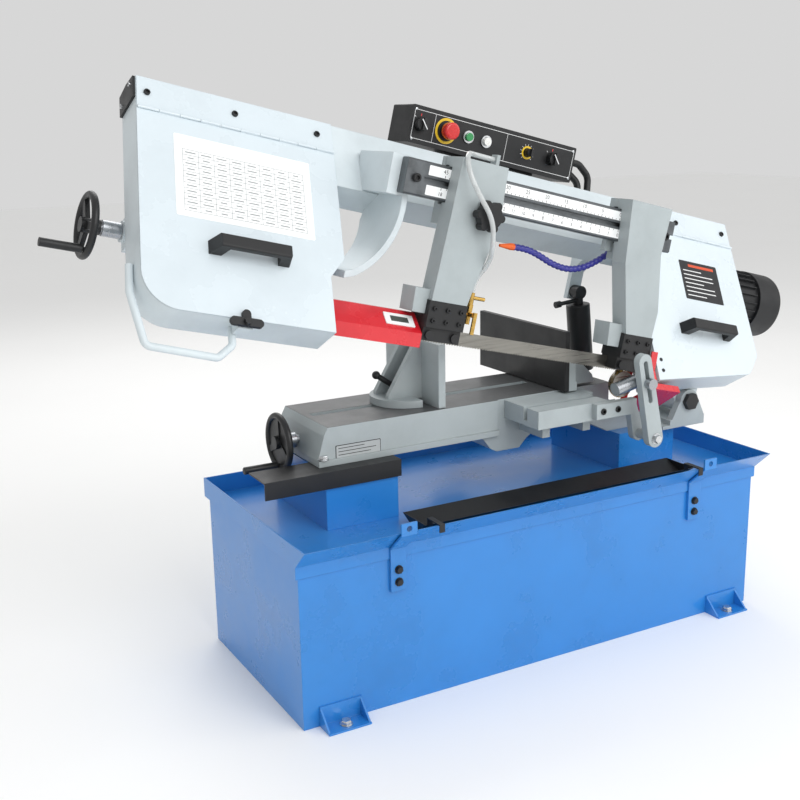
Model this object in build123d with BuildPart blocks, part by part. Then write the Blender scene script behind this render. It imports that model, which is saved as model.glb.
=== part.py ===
from build123d import *
from math import atan2, cos, degrees, pi, radians, sin, tan
import os

os.makedirs("parts", exist_ok=True)

# ---------------------------------------------------------------- driving dimensions (millimetres)
# Axes: X to the operator's right along the base, Y away from the operator, Z up.
# The origin is on the floor, at the middle of the cabinet's footprint.
base_length = 1170.0
base_depth = 472.0
sheet = 3.0
cabinet_height = 341.0
skirt_bottom = 317.0
tray_floor_top = 344.0
tray_rim = 384.0
tray_side_overhang = 6.0
tray_front_overhang = 49.0
tray_back_overhang = 15.0

foot_length = 92.0
foot_reach = 45.0
foot_rise = 42.0
foot_plate = 4.0
foot_inset = 126.0
floor_bolt_hole = 14.0

pedestal_front = -100.0
pedestal_back = 160.0
left_pedestal_x = (-456.0, -291.0)
left_pedestal_top = 467.0
right_pedestal_x = (297.0, 462.0)
right_pedestal_top = 432.0

table_height = 550.0
bed_left = -433.0
bed_right = 292.0
bed_front = -63.0
bed_back = 144.0
slot_centre = 43.0
slot_width = 22.0
rail_x = (0.0, 206.0)
rail_front = -190.0
blade_gap = (-149.0, -136.0)

pivot_x = 481.0
pivot_z = 492.0
bow_angle = 13.74
wheel_cant = 32.9
pivot_radius = 15.0
pivot_barrel_radius = 30.0
running_clearance = 0.05

head_y = 44.7
head_z = 434.6
door_thickness = 3.0
head_gap = 0.5
head_depth = 77.0
casting_wall = 6.0
strip_height = 68.0
left_box_u = (-1365.0, -961.0)
left_box_low_right = -994.0
left_box_drop = 465.0
left_corner_radius = 70.0
right_box_u = (-180.0, 165.0)
right_box_drop = 463.0
beam_drop = 140.0

wheel_radius = 150.0
wheel_drop = 263.0
wheel_depth = 45.0
wheel_width = 30.0
idler_u = -1182.0
drive_u = -5.0
axle_radius = 15.0

blade_width = 27.0
blade_thickness = 0.9
blade_y = -142.0

bar_u = (-880.0, -185.0)
bar_v = (323.0, 392.0)
bar_front = -152.0
bar_back = -126.0

arm_front = -185.0
arm_back = -112.0
handwheel_radius = 62.5


class Frame:
    """Axes that pieces are drawn in: side() faces the operator, plan() faces up, end() faces right."""

    def __init__(self, place):
        self.place = place

    def side(self, y):
        return Plane(self.place * Plane((0, y, 0), x_dir=(1, 0, 0), z_dir=(0, -1, 0)).location)

    def plan(self, z):
        return Plane(self.place * Plane((0, 0, z)).location)

    def end(self, x):
        return Plane(self.place * Plane((x, 0, 0), x_dir=(0, 1, 0), z_dir=(1, 0, 0)).location)

    def at(self, x, y, z, turn=(0, 0, 0)):
        return self.place * Location((x, y, z), turn)


base = Frame(Location())
# The bow's own axes start at its pivot; the wheel boxes lean back from them by the cant angle.
bow = Frame(Location((pivot_x, 0, pivot_z), (0, bow_angle, 0)))
head = Frame(bow.place * Location((0, head_y, head_z), (-wheel_cant, 0, 0)))

AXIS_TURN = {"x": (0, 90, 0), "y": (90, 0, 0), "z": (0, 0, 0)}


def block(frame, x, y, z, mode=Mode.ADD):
    """A box between three pairs of limits in a frame."""
    middle = [(low + high) / 2 for low, high in (x, y, z)]
    with Locations(frame.at(*middle)):
        Box(x[1] - x[0], y[1] - y[0], z[1] - z[0], mode=mode)


def drum(frame, axis, span, first, second, radius, mode=Mode.ADD):
    """A cylinder along one axis of a frame; first and second are its other two coordinates in order."""
    middle = (span[0] + span[1]) / 2
    place = {"x": (middle, first, second), "y": (first, middle, second), "z": (first, second, middle)}[axis]
    with Locations(frame.at(*place, AXIS_TURN[axis])):
        Cylinder(radius, span[1] - span[0], mode=mode)


def prism(plane, points, depth, mode=Mode.ADD):
    """A closed polygon on a plane, carried behind it by a depth."""
    with BuildSketch(plane) as outline:
        with BuildLine():
            Polyline(*points, close=True)
        make_face()
    extrude(outline.sketch, amount=-depth, mode=mode)


def hexagon(plane, spots, across, depth, mode=Mode.ADD):
    """Hexagon prisms for nuts and bolt heads, standing proud of a plane."""
    with BuildSketch(plane) as heads:
        with Locations(*spots):
            RegularPolygon(across / 2, 6, major_radius=False)
    extrude(heads.sketch, amount=depth, mode=mode)


def discs(plane, spots, radius, depth, mode=Mode.ADD):
    """Round prisms standing proud of a plane, or cut into it with a negative depth."""
    with BuildSketch(plane) as rounds:
        with Locations(*spots):
            Circle(radius)
    extrude(rounds.sketch, amount=depth, mode=mode)


def keep(piece, name):
    """Label a finished piece and write it to its own file."""
    piece.label = name
    export_step(piece, f"parts/{name}.step")


# ---------------------------------------------------------------- cabinet, feet and tray
half_length = base_length / 2
half_depth = base_depth / 2

with BuildPart() as cabinet:
    block(base, (-half_length, half_length), (-half_depth, half_depth), (0, cabinet_height))
    block(base, (-half_length + sheet, half_length - sheet), (-half_depth + sheet, half_depth - sheet),
          (sheet, cabinet_height), Mode.SUBTRACT)
keep(cabinet.part, "cabinet")

foot_spots = [(sx * (half_length - foot_inset + foot_length / 2), sy) for sx in (-1, 1) for sy in (-1, 1)]


def foot_bracket(x, side):
    """One angle bracket with two gussets, on the front (side -1) or back (side 1) of the cabinet."""
    wall = side * half_depth
    reach = side * (half_depth + foot_reach)
    low, high = sorted((wall, reach))
    leg = sorted((wall, wall + side * foot_plate))
    block(base, (x - foot_length / 2, x + foot_length / 2), (low, high), (0, foot_plate))
    block(base, (x - foot_length / 2, x + foot_length / 2), leg, (0, foot_rise))
    for edge in (x - foot_length / 2, x + foot_length / 2 - foot_plate):
        prism(base.end(edge + foot_plate), [(wall, 0), (reach, 0), (wall, foot_rise)], foot_plate)
    drum(base, "z", (-1, foot_plate + 1), x, wall + side * foot_reach * 0.55, floor_bolt_hole / 2,
         Mode.SUBTRACT)


with BuildPart() as floor_feet:
    for foot_x, foot_side in foot_spots:
        foot_bracket(foot_x, foot_side)
keep(floor_feet.part, "floor_feet")

tray_left = -half_length - tray_side_overhang
tray_right = half_length + tray_side_overhang
tray_front = -half_depth - tray_front_overhang
tray_back = half_depth + tray_back_overhang
skirt_gap = 0.5
front_profile = [(-half_depth - skirt_gap - sheet, skirt_bottom), (-half_depth - skirt_gap, skirt_bottom),
                 (-half_depth - skirt_gap, tray_floor_top - sheet), (-half_depth, tray_floor_top),
                 (tray_front + sheet, tray_rim), (tray_front, tray_rim),
                 (-half_depth - skirt_gap - sheet, tray_floor_top - sheet)]
with BuildPart() as chip_tray:
    block(base, (tray_left, tray_right), (-half_depth - skirt_gap - sheet, tray_back),
          (tray_floor_top - sheet, tray_floor_top))
    prism(base.end(tray_right), front_profile, tray_right - tray_left)
    block(base, (tray_left, tray_right), (tray_back - sheet, tray_back), (tray_floor_top - sheet, tray_rim))
    side_profile = [(tray_front, tray_rim), (-half_depth - skirt_gap - sheet, tray_floor_top - sheet),
                    (tray_back, tray_floor_top - sheet), (tray_back, tray_rim)]
    prism(base.end(tray_left + sheet), side_profile, sheet)
    prism(base.end(tray_right), side_profile, sheet)
    # round drain through the floor, back to the coolant tank
    drum(base, "z", (tray_floor_top - 2 * sheet, tray_floor_top + 1), 520, 60, 22, Mode.SUBTRACT)
keep(chip_tray.part, "chip_tray")

with BuildPart() as bed_pedestals:
    for (low_x, high_x), top in ((left_pedestal_x, left_pedestal_top), (right_pedestal_x, right_pedestal_top)):
        block(base, (low_x, high_x), (pedestal_front, pedestal_back), (tray_floor_top, top))
        block(base, (low_x + 5, high_x - 5), (pedestal_front + 5, pedestal_back - 5),
              (tray_floor_top, top - 5), Mode.SUBTRACT)
keep(bed_pedestals.part, "bed_pedestals")

angle_x = (-590.0, -286.0)
angle_front = -107.0
with BuildPart() as splash_angle:
    block(base, angle_x, (angle_front, angle_front + 2.5), (434, left_pedestal_top + sheet))
    block(base, angle_x, (angle_front, -25), (left_pedestal_top, left_pedestal_top + sheet))
keep(splash_angle.part, "splash_angle")

trough_x = (-310.0, 396.0)
trough_profile = [(-243, 372), (-241, 372), (-206, 349), (-154, 372), (-152, 372), (-206, tray_floor_top + 1.5)]
with BuildPart() as chip_trough:
    prism(base.end(trough_x[1]), trough_profile, trough_x[1] - trough_x[0])
    for plate_x in trough_x:
        inner = plate_x + (2 if plate_x < 0 else 0)
        prism(base.end(inner), [(-243, 372), (-152, 372), (-206, tray_floor_top + 1.5)], 2)
    for hook_x in (-305.0, 366.0):
        block(base, (hook_x, hook_x + 12), (-290, -241), (tray_rim + 1, tray_rim + 3))
        block(base, (hook_x, hook_x + 12), (-243, -241), (370, tray_rim + 3))
        block(base, (hook_x, hook_x + 12), (-290, -288), (tray_rim - 14, tray_rim + 3))
keep(chip_trough.part, "chip_trough")

eye_x = (-372.0, 401.0)
eye_half = 17.5
eye_hole_height = 379.0
eye_skin = half_depth + skirt_gap + sheet
eye_face = half_depth + tray_front_overhang + 0.5
eye_profile = [(-eye_skin, 248), (-eye_skin, tray_floor_top - sheet - 2), (-eye_face, tray_rim - sheet),
               (-eye_face, 404), (-eye_face - 4, 404), (-eye_face - 4, tray_rim - sheet - 2),
               (-eye_skin - 4, tray_floor_top - sheet - 4), (-eye_skin - 4, 248)]
with BuildPart() as eye_brackets:
    for centre_x in eye_x:
        prism(base.end(centre_x + eye_half), eye_profile, 2 * eye_half)
        block(base, (centre_x - eye_half, centre_x + eye_half), (-eye_skin, -half_depth), (248, 314))
        drum(base, "y", (-eye_face - 10, -eye_face + 10), centre_x, 392, 6, Mode.SUBTRACT)
        for bolt_z in (267, 293):
            drum(base, "y", (-eye_skin - 5, -half_depth), centre_x, bolt_z, 4.2, Mode.SUBTRACT)
keep(eye_brackets.part, "eye_brackets")

with BuildPart() as coolant_pump:
    drum(base, "z", (sheet, 70), 430, 90, 45)
    drum(base, "z", (70, 150), 430, 90, 14)
    drum(base, "z", (150, 158), 430, 90, 62)
    drum(base, "z", (158, 270), 430, 90, 48)
    fillet(coolant_pump.edges().sort_by(Axis.Z)[-1:], 8)
keep(coolant_pump.part, "coolant_pump")

# ---------------------------------------------------------------- bed
bed_bottom = left_pedestal_top + sheet
shelf_top = 466.0
swivel_axis = (196.0, 62.0)
cylinder_y = 120.0
cylinder_foot = (361.0, 492.0)
ledge_front = bed_front - 10
with BuildPart() as bed_casting:
    block(base, (bed_left, bed_right), (bed_front, bed_back), (bed_bottom, table_height))
    left_end = [(bed_left - 24, bed_bottom), (bed_left - 24, bed_bottom + 13), (bed_left - 9, table_height - 17),
                (bed_left, table_height), (-20, table_height), (-20, bed_bottom)]
    prism(base.side(bed_front - 5), left_end, bed_back - bed_front + 5)
    block(base, (bed_left - 24, -20), (ledge_front, bed_back), (bed_bottom, bed_bottom + 13))
    # deep right part down to its own pedestal, with an arched foot towards the left
    foot_arch = [(-60, bed_bottom), (-36, 440), (-20, right_pedestal_top), (40, right_pedestal_top), (60, 452),
                 (96, 474), (200, 474), (250, 452), (290, right_pedestal_top), (400, right_pedestal_top),
                 (400, shelf_top), (bed_right, shelf_top), (bed_right, 520), (-60, 520)]
    prism(base.side(bed_front), foot_arch, bed_back + 40 - bed_front)
    # platform in front of the table, and the rail beyond the blade
    block(base, rail_x, (rail_front, bed_front), (507, table_height - 3))
    block(base, (rail_x[0], rail_x[1] + 12), (blade_gap[0], blade_gap[1]), (518, table_height), Mode.SUBTRACT)
    block(base, (40, 60), (-150, bed_front), (474, 508))
    block(base, (150, 170), (-150, bed_front), (474, 508))
    # relief for the right guide head when the bow is down
    block(base, (186, 213), (-187, -112), (537, table_height), Mode.SUBTRACT)
    # pin that the back jaw swivels on
    drum(base, "z", (table_height - 5, table_height + 19), *swivel_axis, 10)
    # tee slot for the movable jaw, open at the left end
    block(base, (-419, 130), (slot_centre - slot_width / 2, slot_centre + slot_width / 2),
          (table_height - 40, table_height + 1), Mode.SUBTRACT)
    block(base, (-422, 140), (slot_centre - 20, slot_centre + 20), (table_height - 52, table_height - 18),
          Mode.SUBTRACT)
    drum(base, "x", (bed_left - 30, 150), slot_centre, 502, 10.5, Mode.SUBTRACT)
    # lug and headed pin that the foot of the lowering cylinder rocks on
    block(base, (cylinder_foot[0] - 14, cylinder_foot[0] + 14), (cylinder_y + 12.5, cylinder_y + 26),
          (shelf_top - 2, cylinder_foot[1]))
    drum(base, "y", (cylinder_y + 12.5, cylinder_y + 26), *cylinder_foot, 14)
    drum(base, "y", (cylinder_y - 18, cylinder_y + 14), *cylinder_foot, 5)
    drum(base, "y", (cylinder_y - 18, cylinder_y - 12), *cylinder_foot, 16)
keep(bed_casting.part, "bed_casting")

bracket_x = (402.0, 530.0)
fork_gap = (-111.0, -20.0)
with BuildPart() as pivot_bracket:
    block(base, bracket_x, (-129, 40), (right_pedestal_top, 452))
    for lug_y in ((-129.0, fork_gap[0] - 0.5), (fork_gap[1] + 0.5, 2.0)):
        prism(base.side(lug_y[0]), [(430, 452), (452, pivot_z), (510, pivot_z), (530, 452)], lug_y[1] - lug_y[0])
        drum(base, "y", lug_y, pivot_x, pivot_z, 27)
    drum(base, "y", (-140, 10), pivot_x, pivot_z, pivot_radius + running_clearance, Mode.SUBTRACT)
    # relief that the bow's pivot barrel turns in
    drum(base, "y", fork_gap, pivot_x, pivot_z, pivot_barrel_radius + 3, Mode.SUBTRACT)
    block(base, (400, 424), (-140, 41), (440, 453), Mode.SUBTRACT)
keep(pivot_bracket.part, "pivot_bracket")

with BuildPart() as pivot_shaft:
    drum(base, "y", (-136, 10), pivot_x, pivot_z, pivot_radius)
    hexagon(base.side(-129), [(pivot_x, pivot_z)], 36, 11)
    hexagon(base.side(15), [(pivot_x, pivot_z)], 36, 12)
keep(pivot_shaft.part, "pivot_shaft")

# ---------------------------------------------------------------- vise
screw_z = 502.0
jaw_face_x = -150.0
jaw_top = 688.0
jaw_thick = 17.0
lever_axis = (-212.0, slot_centre)


def handwheel(frame, centre):
    """A cast handwheel on an axis along X: rim, three spokes and a hub."""
    x, y, z = centre
    with Locations(frame.at(x, y, z, (0, 90, 0))):
        Torus(handwheel_radius - 7, 7)
    drum(frame, "x", (x - 12, x + 24), y, z, 14)
    for step in range(3):
        angle = radians(90 + 120 * step)
        tip = (y + cos(angle) * (handwheel_radius - 9), z + sin(angle) * (handwheel_radius - 9))
        left = (y + cos(angle + pi / 2) * 9, z + sin(angle + pi / 2) * 9)
        right = (y - cos(angle + pi / 2) * 9, z - sin(angle + pi / 2) * 9)
        ahead = (tip[0] - cos(angle + pi / 2) * 6, tip[1] - sin(angle + pi / 2) * 6)
        behind = (tip[0] + cos(angle + pi / 2) * 6, tip[1] + sin(angle + pi / 2) * 6)
        prism(frame.end(x + 5), [left, right, ahead, behind], 9)


with BuildPart() as vise_screw:
    drum(base, "x", (bed_left - 60, 120), slot_centre, screw_z, 10)
    drum(base, "x", (bed_left - 36, bed_left - 24.5), slot_centre, screw_z, 16)
keep(vise_screw.part, "vise_screw")

vise_wheel_x = bed_left - 60.0
with BuildPart() as vise_handwheel:
    handwheel(base, (vise_wheel_x, slot_centre, screw_z))
    drum(base, "x", (vise_wheel_x - 1, vise_wheel_x + 6), slot_centre, screw_z, handwheel_radius - 6)
    drum(base, "x", (vise_wheel_x, vise_wheel_x + 30), slot_centre, screw_z, 10.02, Mode.SUBTRACT)
    drum(base, "x", (vise_wheel_x - 40, vise_wheel_x), slot_centre, screw_z - handwheel_radius + 13, 4)
keep(vise_handwheel.part, "vise_handwheel")

with BuildPart() as vise_crank_grip:
    drum(base, "x", (vise_wheel_x - 82, vise_wheel_x - 9), slot_centre, screw_z - handwheel_radius + 13, 8)
    drum(base, "x", (vise_wheel_x - 45, vise_wheel_x - 8), slot_centre, screw_z - handwheel_radius + 13, 4.05,
         Mode.SUBTRACT)
    fillet(vise_crank_grip.edges().filter_by(GeomType.CIRCLE).sort_by(Axis.X)[:1], 3)
keep(vise_crank_grip.part, "vise_crank_grip")

with BuildPart() as movable_jaw:
    block(base, (jaw_face_x - jaw_thick, jaw_face_x), (-61, 170), (table_height + 0.4, jaw_top))
    with BuildSketch(base.plan(table_height + 0.4)) as jaw_foot:
        with Locations((jaw_face_x - 40, 45)):
            Circle(78)
        with Locations((jaw_face_x + 60, 45)):
            Rectangle(200, 240, mode=Mode.SUBTRACT)
    extrude(jaw_foot.sketch, amount=16)
    for rib_y in (10.0, 66.0):
        prism(base.side(rib_y), [(jaw_face_x - 8, table_height + 10), (jaw_face_x - 100, table_height + 10),
                                 (jaw_face_x - 100, table_height + 24), (jaw_face_x - 34, jaw_top - 8),
                                 (jaw_face_x - 8, jaw_top - 4)], 13)
    # nut under the table, on the vise screw, with its stud up through the jaw's foot
    block(base, (-244, -180), (slot_centre - 19.5, slot_centre + 19.5), (table_height - 50, table_height - 19))
    block(base, (-244, -180), (slot_centre - slot_width / 2 + 0.5, slot_centre + slot_width / 2 - 0.5),
          (table_height - 19, table_height + 1))
    drum(base, "z", (table_height - 2, table_height + 28), *lever_axis, 6.5)
    drum(base, "x", (-260, -170), slot_centre, screw_z, 10.05, Mode.SUBTRACT)
keep(movable_jaw.part, "movable_jaw")

with BuildPart() as jaw_lock_lever:
    drum(base, "z", (table_height + 16.8, table_height + 42), *lever_axis, 12)
    with Locations(base.at(lever_axis[0] - 24, slot_centre, table_height + 48, (0, -55, 0))):
        Cylinder(6, 62)
        with Locations((0, 0, 31)):
            Sphere(9)
    drum(base, "z", (table_height + 16, table_height + 30), *lever_axis, 6.55, Mode.SUBTRACT)
keep(jaw_lock_lever.part, "jaw_lock_lever")

plate_x = (141.0, 153.0)
with BuildPart() as swivel_jaw:
    with BuildSketch(base.plan(table_height + 0.4)) as swivel_foot:
        with BuildLine():
            Polyline((plate_x[1], -90), (plate_x[1], 190), (plate_x[1] + 30, 190), (250, 100), (250, 20),
                     (178, -90), close=True)
        make_face()
    extrude(swivel_foot.sketch, amount=20)
    prism(base.side(-60), [(plate_x[1], 556), (250, 556), (244, 574), (plate_x[1] + 22, 640),
                           (plate_x[1], 640)], 16)
    prism(base.side(110), [(plate_x[1], 556), (240, 556), (234, 574), (plate_x[1] + 22, 640),
                           (plate_x[1], 640)], 16)
    block(base, (plate_x[1], plate_x[1] + 22), (-90, 190), (556, 640))
    drum(base, "z", (table_height, table_height + 30), *swivel_axis, 10 + running_clearance, Mode.SUBTRACT)
keep(swivel_jaw.part, "swivel_jaw")

with BuildPart() as jaw_plate:
    block(base, plate_x, (-94, 250), (table_height + 2, jaw_top))
keep(jaw_plate.part, "jaw_plate")

# ---------------------------------------------------------------- work stop
stop_rod_y = -208.0
stop_rod_z = 466.0
stop_rod_x = 262.0
stop_arm_y = (-262.0, -244.0)
with BuildPart() as stop_bracket:
    block(base, (142, 252), (rail_front - 17, rail_front), (512, 546))
    prism(base.side(rail_front - 17), [(216, 546), (236, 546), (252, 534), (276, 466), (262, 448), (246, 460),
                                       (236, 512), (216, 512)], 17)
    drum(base, "y", (rail_front - 17, rail_front), stop_rod_x, stop_rod_z, 17)
    # turned rod that carries the stop arm
    drum(base, "y", (stop_arm_y[1] - 14, rail_front + 8), stop_rod_x, stop_rod_z, 7.95)
    drum(base, "y", (stop_arm_y[1] + 0.5, rail_front), stop_rod_x, stop_rod_z, 11)
keep(stop_bracket.part, "stop_bracket")

stop_arm_angle = 12.0
stop_arm_length = 178.0
stop_frame = Frame(Location((stop_rod_x, 0, stop_rod_z), (0, -stop_arm_angle, 0)))
with BuildPart() as stop_arm:
    with BuildSketch(stop_frame.side(stop_arm_y[0])) as arm_outline:
        with Locations((0, 0)):
            Circle(20)
        with Locations((0, stop_arm_length)):
            Circle(17)
        with BuildLine():
            Polyline((-20, 0), (20, 0), (17, stop_arm_length), (-17, stop_arm_length), close=True)
        make_face()
        with Locations((0, stop_arm_length - 46)):
            SlotOverall(96, 11, rotation=90, mode=Mode.SUBTRACT)
        Circle(8, mode=Mode.SUBTRACT)
    extrude(arm_outline.sketch, amount=-(stop_arm_y[1] - stop_arm_y[0]))
keep(stop_arm.part, "stop_arm")

stop_pin_up = 130.0
with BuildPart() as stop_pin:
    # clamping knob, its stud through the slot, and the pad that the work meets
    drum(stop_frame, "y", (stop_arm_y[0] - 16, stop_arm_y[0] - 0.4), 0, stop_pin_up, 12)
    drum(stop_frame, "y", (stop_arm_y[0] - 1, stop_arm_y[1] + 8), 0, stop_pin_up, 4.5)
    drum(stop_frame, "y", (stop_arm_y[1] + 0.4, stop_arm_y[1] + 16), 0, stop_pin_up, 14)
    drum(stop_frame, "x", (-64, 4), stop_arm_y[1] + 16, stop_pin_up, 15)
keep(stop_pin.part, "stop_pin")

# ---------------------------------------------------------------- bow casting
bar_seat = bar_back
cylinder_top = (-197.0, 200.0)
tension_depth = 115.0
tension_slot = 45.0
gearbox_back = 77.1
worm_drop = 107.0
worm_depth = 167.0
nozzle_end = (-262.0, -93.0, 338.0)
left_outline = [(left_box_u[0], 0), (left_box_u[1], 0), (left_box_u[1], -305), (left_box_low_right, -349),
                (left_box_low_right, -left_box_drop), (left_box_u[0], -left_box_drop)]
right_outline = [(right_box_u[0], 0), (right_box_u[1] - 5, 0), (right_box_u[1], -360), (124, -413),
                 (right_box_u[0], -right_box_drop)]


def box_outline(plane, points, shrink, round_at, round_radius, depth, mode=Mode.ADD):
    """A wheel box outline with its rounded corners, drawn in by a wall thickness and carried back."""
    with BuildSketch(plane) as outline:
        with BuildLine():
            Polyline(*points, close=True)
        make_face()
        corners = [outline.vertices().sort_by_distance(corner)[0] for corner in round_at]
        fillet(corners, round_radius)
        if shrink:
            offset(amount=-shrink, mode=Mode.REPLACE)
    extrude(outline.sketch, amount=-depth, mode=mode)


left_round = [(left_box_u[0], -left_box_drop)]
right_round = [(right_box_u[1], -360), (124, -413)]
box_front = door_thickness + head_gap
with BuildPart() as bow_casting:
    for points, round_at, radius in ((left_outline, left_round, left_corner_radius),
                                     (right_outline, right_round, 25)):
        box_outline(head.side(box_front), points, 0, round_at, radius, head_depth - box_front)
    block(head, (left_box_u[1] - 4, right_box_u[0] + 4), (box_front, head_depth), (-beam_drop, 0))
    # boss that the door catch turns on, and the tension slide's rails and thrust block
    block(head, (-1190, -1162), (box_front, 30), (-482, -464))
    for rail_w in (-312.0, -231.0):
        block(head, (idler_u - 110, idler_u + 90), (head_depth, 112), (rail_w, rail_w + 17))
    block(head, (-1352, -1332), (head_depth, tension_depth + 22), (-wheel_drop - 30, -wheel_drop + 30))
    drum(head, "x", (-1360, -1332), tension_depth, -wheel_drop, 20)
    # pivot barrel and the web that carries it
    drum(bow, "y", (fork_gap[0] + 0.5, fork_gap[1] - 0.5), 0, 0, pivot_barrel_radius)
    prism(bow.end(35), [(fork_gap[0] + 0.5, 0), (fork_gap[0] + 0.5, 58.9), (-78, 110), (-66, 74),
                         (-30, 40), (-30, 0)], 70)
    # lug for the top of the lowering cylinder
    prism(bow.end(cylinder_top[0] + 17), [(100, 378), (60, 317), (cylinder_y + 12, 250), (cylinder_y + 12, 180),
                                          (cylinder_y + 26, 180), (cylinder_y + 26, 378)], 34)
    # angled boss that the nozzle hose screws into
    with Locations(bow.at(*[a + b for a, b in zip(nozzle_end, (14.1, 0, 14.1))], (0, 45, 0))):
        Cylinder(9, 40)
    # curved rib at the left, and the pads that hold the guide bar
    with BuildSketch(bow.side(bar_seat)) as rib:
        with BuildLine():
            ThreePointArc((-854, 322), (-873, 215), (-935, 150))
            Line((-935, 150), (-958, 143))
            Line((-958, 143), (-958, 157))
            Line((-958, 157), (-942, 162))
            ThreePointArc((-942, 162), (-886, 218), (-866, 322))
            Line((-866, 322), (-854, 322))
        make_face()
    extrude(rib.sketch, amount=-150)
    block(bow, (-902, -854), (bar_seat, 10), (318, 396))
    block(bow, (-236, -186), (bar_seat, 10), (330, 386))
    # the rib stops at the back plane of the wheel boxes
    block(head, (left_box_u[1], -850), (head_depth, head_depth + 200), (-600, -beam_drop), Mode.SUBTRACT)
    # hollow out the two wheel boxes and the channel for the upper run of the blade
    for points, round_at, radius in ((left_outline, left_round, left_corner_radius),
                                     (right_outline, right_round, 25)):
        box_outline(head.side(box_front - 1), points, casting_wall, round_at, radius,
                    head_depth - casting_wall - box_front + 1, Mode.SUBTRACT)
    block(head, (left_box_u[1] - 12, right_box_u[0] + 12), (box_front + casting_wall, head_depth - casting_wall),
          (-beam_drop + casting_wall, -casting_wall), Mode.SUBTRACT)
    # openings that the lower run of the blade and the sliding guard pass through
    block(head, (left_box_low_right - 8, left_box_low_right + 1), (box_front - 1, head_depth - casting_wall),
          (-left_box_drop + casting_wall, -352), Mode.SUBTRACT)
    block(head, (right_box_u[0] - 1, right_box_u[0] + 8), (24, 66), (-440, -388), Mode.SUBTRACT)
    # slot for the idler axle, bore for the drive shaft, and the screw and pivot bores
    block(head, (idler_u - tension_slot, idler_u + tension_slot), (head_depth - 8, head_depth + 1),
          (-wheel_drop - 17, -wheel_drop + 17), Mode.SUBTRACT)
    drum(head, "y", (head_depth - 8, head_depth + 1), drive_u, -wheel_drop, 42, Mode.SUBTRACT)
    drum(head, "x", (-1365, -1330), tension_depth, -wheel_drop, 10.6, Mode.SUBTRACT)
    drum(bow, "y", (-130, 0), 0, 0, pivot_radius + running_clearance, Mode.SUBTRACT)
    drum(bow, "y", (cylinder_y, cylinder_y + 30), *cylinder_top, 6.05, Mode.SUBTRACT)
keep(bow_casting.part, "bow_casting")

# ---------------------------------------------------------------- doors on their long hinges
hinge_pitch = 38.0
hinge_depth = -2.6
hinge_radius = 2.6
hinge_pin = 1.2
door_top = -strip_height - 1.0


def knuckles(limits, first, count_step):
    """Every second knuckle of a long hinge, between two limits along the bow."""
    low, high = limits
    count = int((high - low) / hinge_pitch)
    pitch = (high - low) / count
    for k in range(first, count, count_step):
        drum(head, "x", (low + k * pitch + 0.4, low + (k + 1) * pitch - 0.4), hinge_depth, -strip_height,
             hinge_radius)
        block(head, (low + k * pitch + 0.4, low + (k + 1) * pitch - 0.4), (hinge_depth, 0.6),
              (-strip_height - (hinge_radius if first else 0.0), -strip_height + (0.0 if first else hinge_radius)))


door_limits = {"left": (left_box_u[0] + 1, left_box_u[1] - 1), "right": (right_box_u[0] + 1, right_box_u[1] - 5)}
with BuildPart() as hinge_strips:
    for low_u, high_u in door_limits.values():
        block(head, (low_u, high_u), (0, box_front), (-strip_height + 0.5, 0))
        knuckles((low_u, high_u), 0, 2)
        drum(head, "x", (low_u + 2, high_u - 2), hinge_depth, -strip_height, hinge_pin)
keep(hinge_strips.part, "hinge_strips")

door_outlines = {
    "left": ([(left_box_u[0], door_top), (left_box_u[1], door_top), (left_box_u[1], -305),
              (left_box_low_right, -349), (left_box_low_right, -left_box_drop),
              (left_box_u[0], -left_box_drop)], left_round, left_corner_radius),
    "right": ([(right_box_u[0], door_top), (right_box_u[1] - 4, door_top), (right_box_u[1], -360), (124, -413),
               (right_box_u[0], -right_box_drop)], right_round, 25)}
for side_name, (points, round_at, radius) in door_outlines.items():
    with BuildPart() as door:
        box_outline(head.side(0), points, 0, round_at, radius, door_thickness)
        fillet(door.faces().sort_by(SortBy.AREA)[-1].edges(), 1.0)
        knuckles(door_limits[side_name], 1, 2)
        drum(head, "x", (left_box_u[0] - 1, right_box_u[1] + 1), hinge_depth, -strip_height, hinge_pin + 0.05,
             Mode.SUBTRACT)
    keep(door.part, f"{side_name}_door")

for side_name, middle_u, middle_w in (("left", -1160.0, -333.0), ("right", 0.0, -322.0)):
    with BuildPart() as handle:
        profile = [(middle_u - 80, 0), (middle_u - 56, 0), (middle_u - 50, -24), (middle_u + 50, -24),
                   (middle_u + 56, 0), (middle_u + 80, 0), (middle_u + 68, -38), (middle_u - 68, -38)]
        prism(head.plan(middle_w + 13), profile, 26)
        fillet(handle.edges().filter_by(GeomType.LINE).sort_by(SortBy.LENGTH)[-6:], 4)
    keep(handle.part, f"{side_name}_door_handle")

latch_u = -1176.0
latch_w = -473.0
with BuildPart() as door_latch:
    with BuildSketch(head.side(-0.6)) as toggle:
        with Locations((latch_u, latch_w)):
            SlotOverall(64, 16)
        with Locations((latch_u, latch_w + 9)):
            SlotOverall(30, 16, rotation=90)
    extrude(toggle.sketch, amount=7)
    drum(head, "y", (-14, -7.6), latch_u, latch_w, 7)
    drum(head, "y", (-1, box_front), latch_u, latch_w, 4)
keep(door_latch.part, "door_latch")

pull_tube = 7.0
with BuildPart() as pull_handle:
    with BuildLine(head.side(40)) as pull_path:
        FilletPolyline((-1372.3, -372), (-1372.3, -425), (-1347, -522), (-1215, -528), (-1186, -500),
                       (-1186, -left_box_drop - 0.1), radius=14)
    with BuildSketch(Plane(pull_path.line @ 0, z_dir=pull_path.line % 0)):
        Circle(pull_tube)
    sweep()
keep(pull_handle.part, "pull_handle")

# ---------------------------------------------------------------- band wheels, blade and drive
rim_radius = wheel_radius - 0.5
wheel_front = wheel_depth - wheel_width / 2


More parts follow.
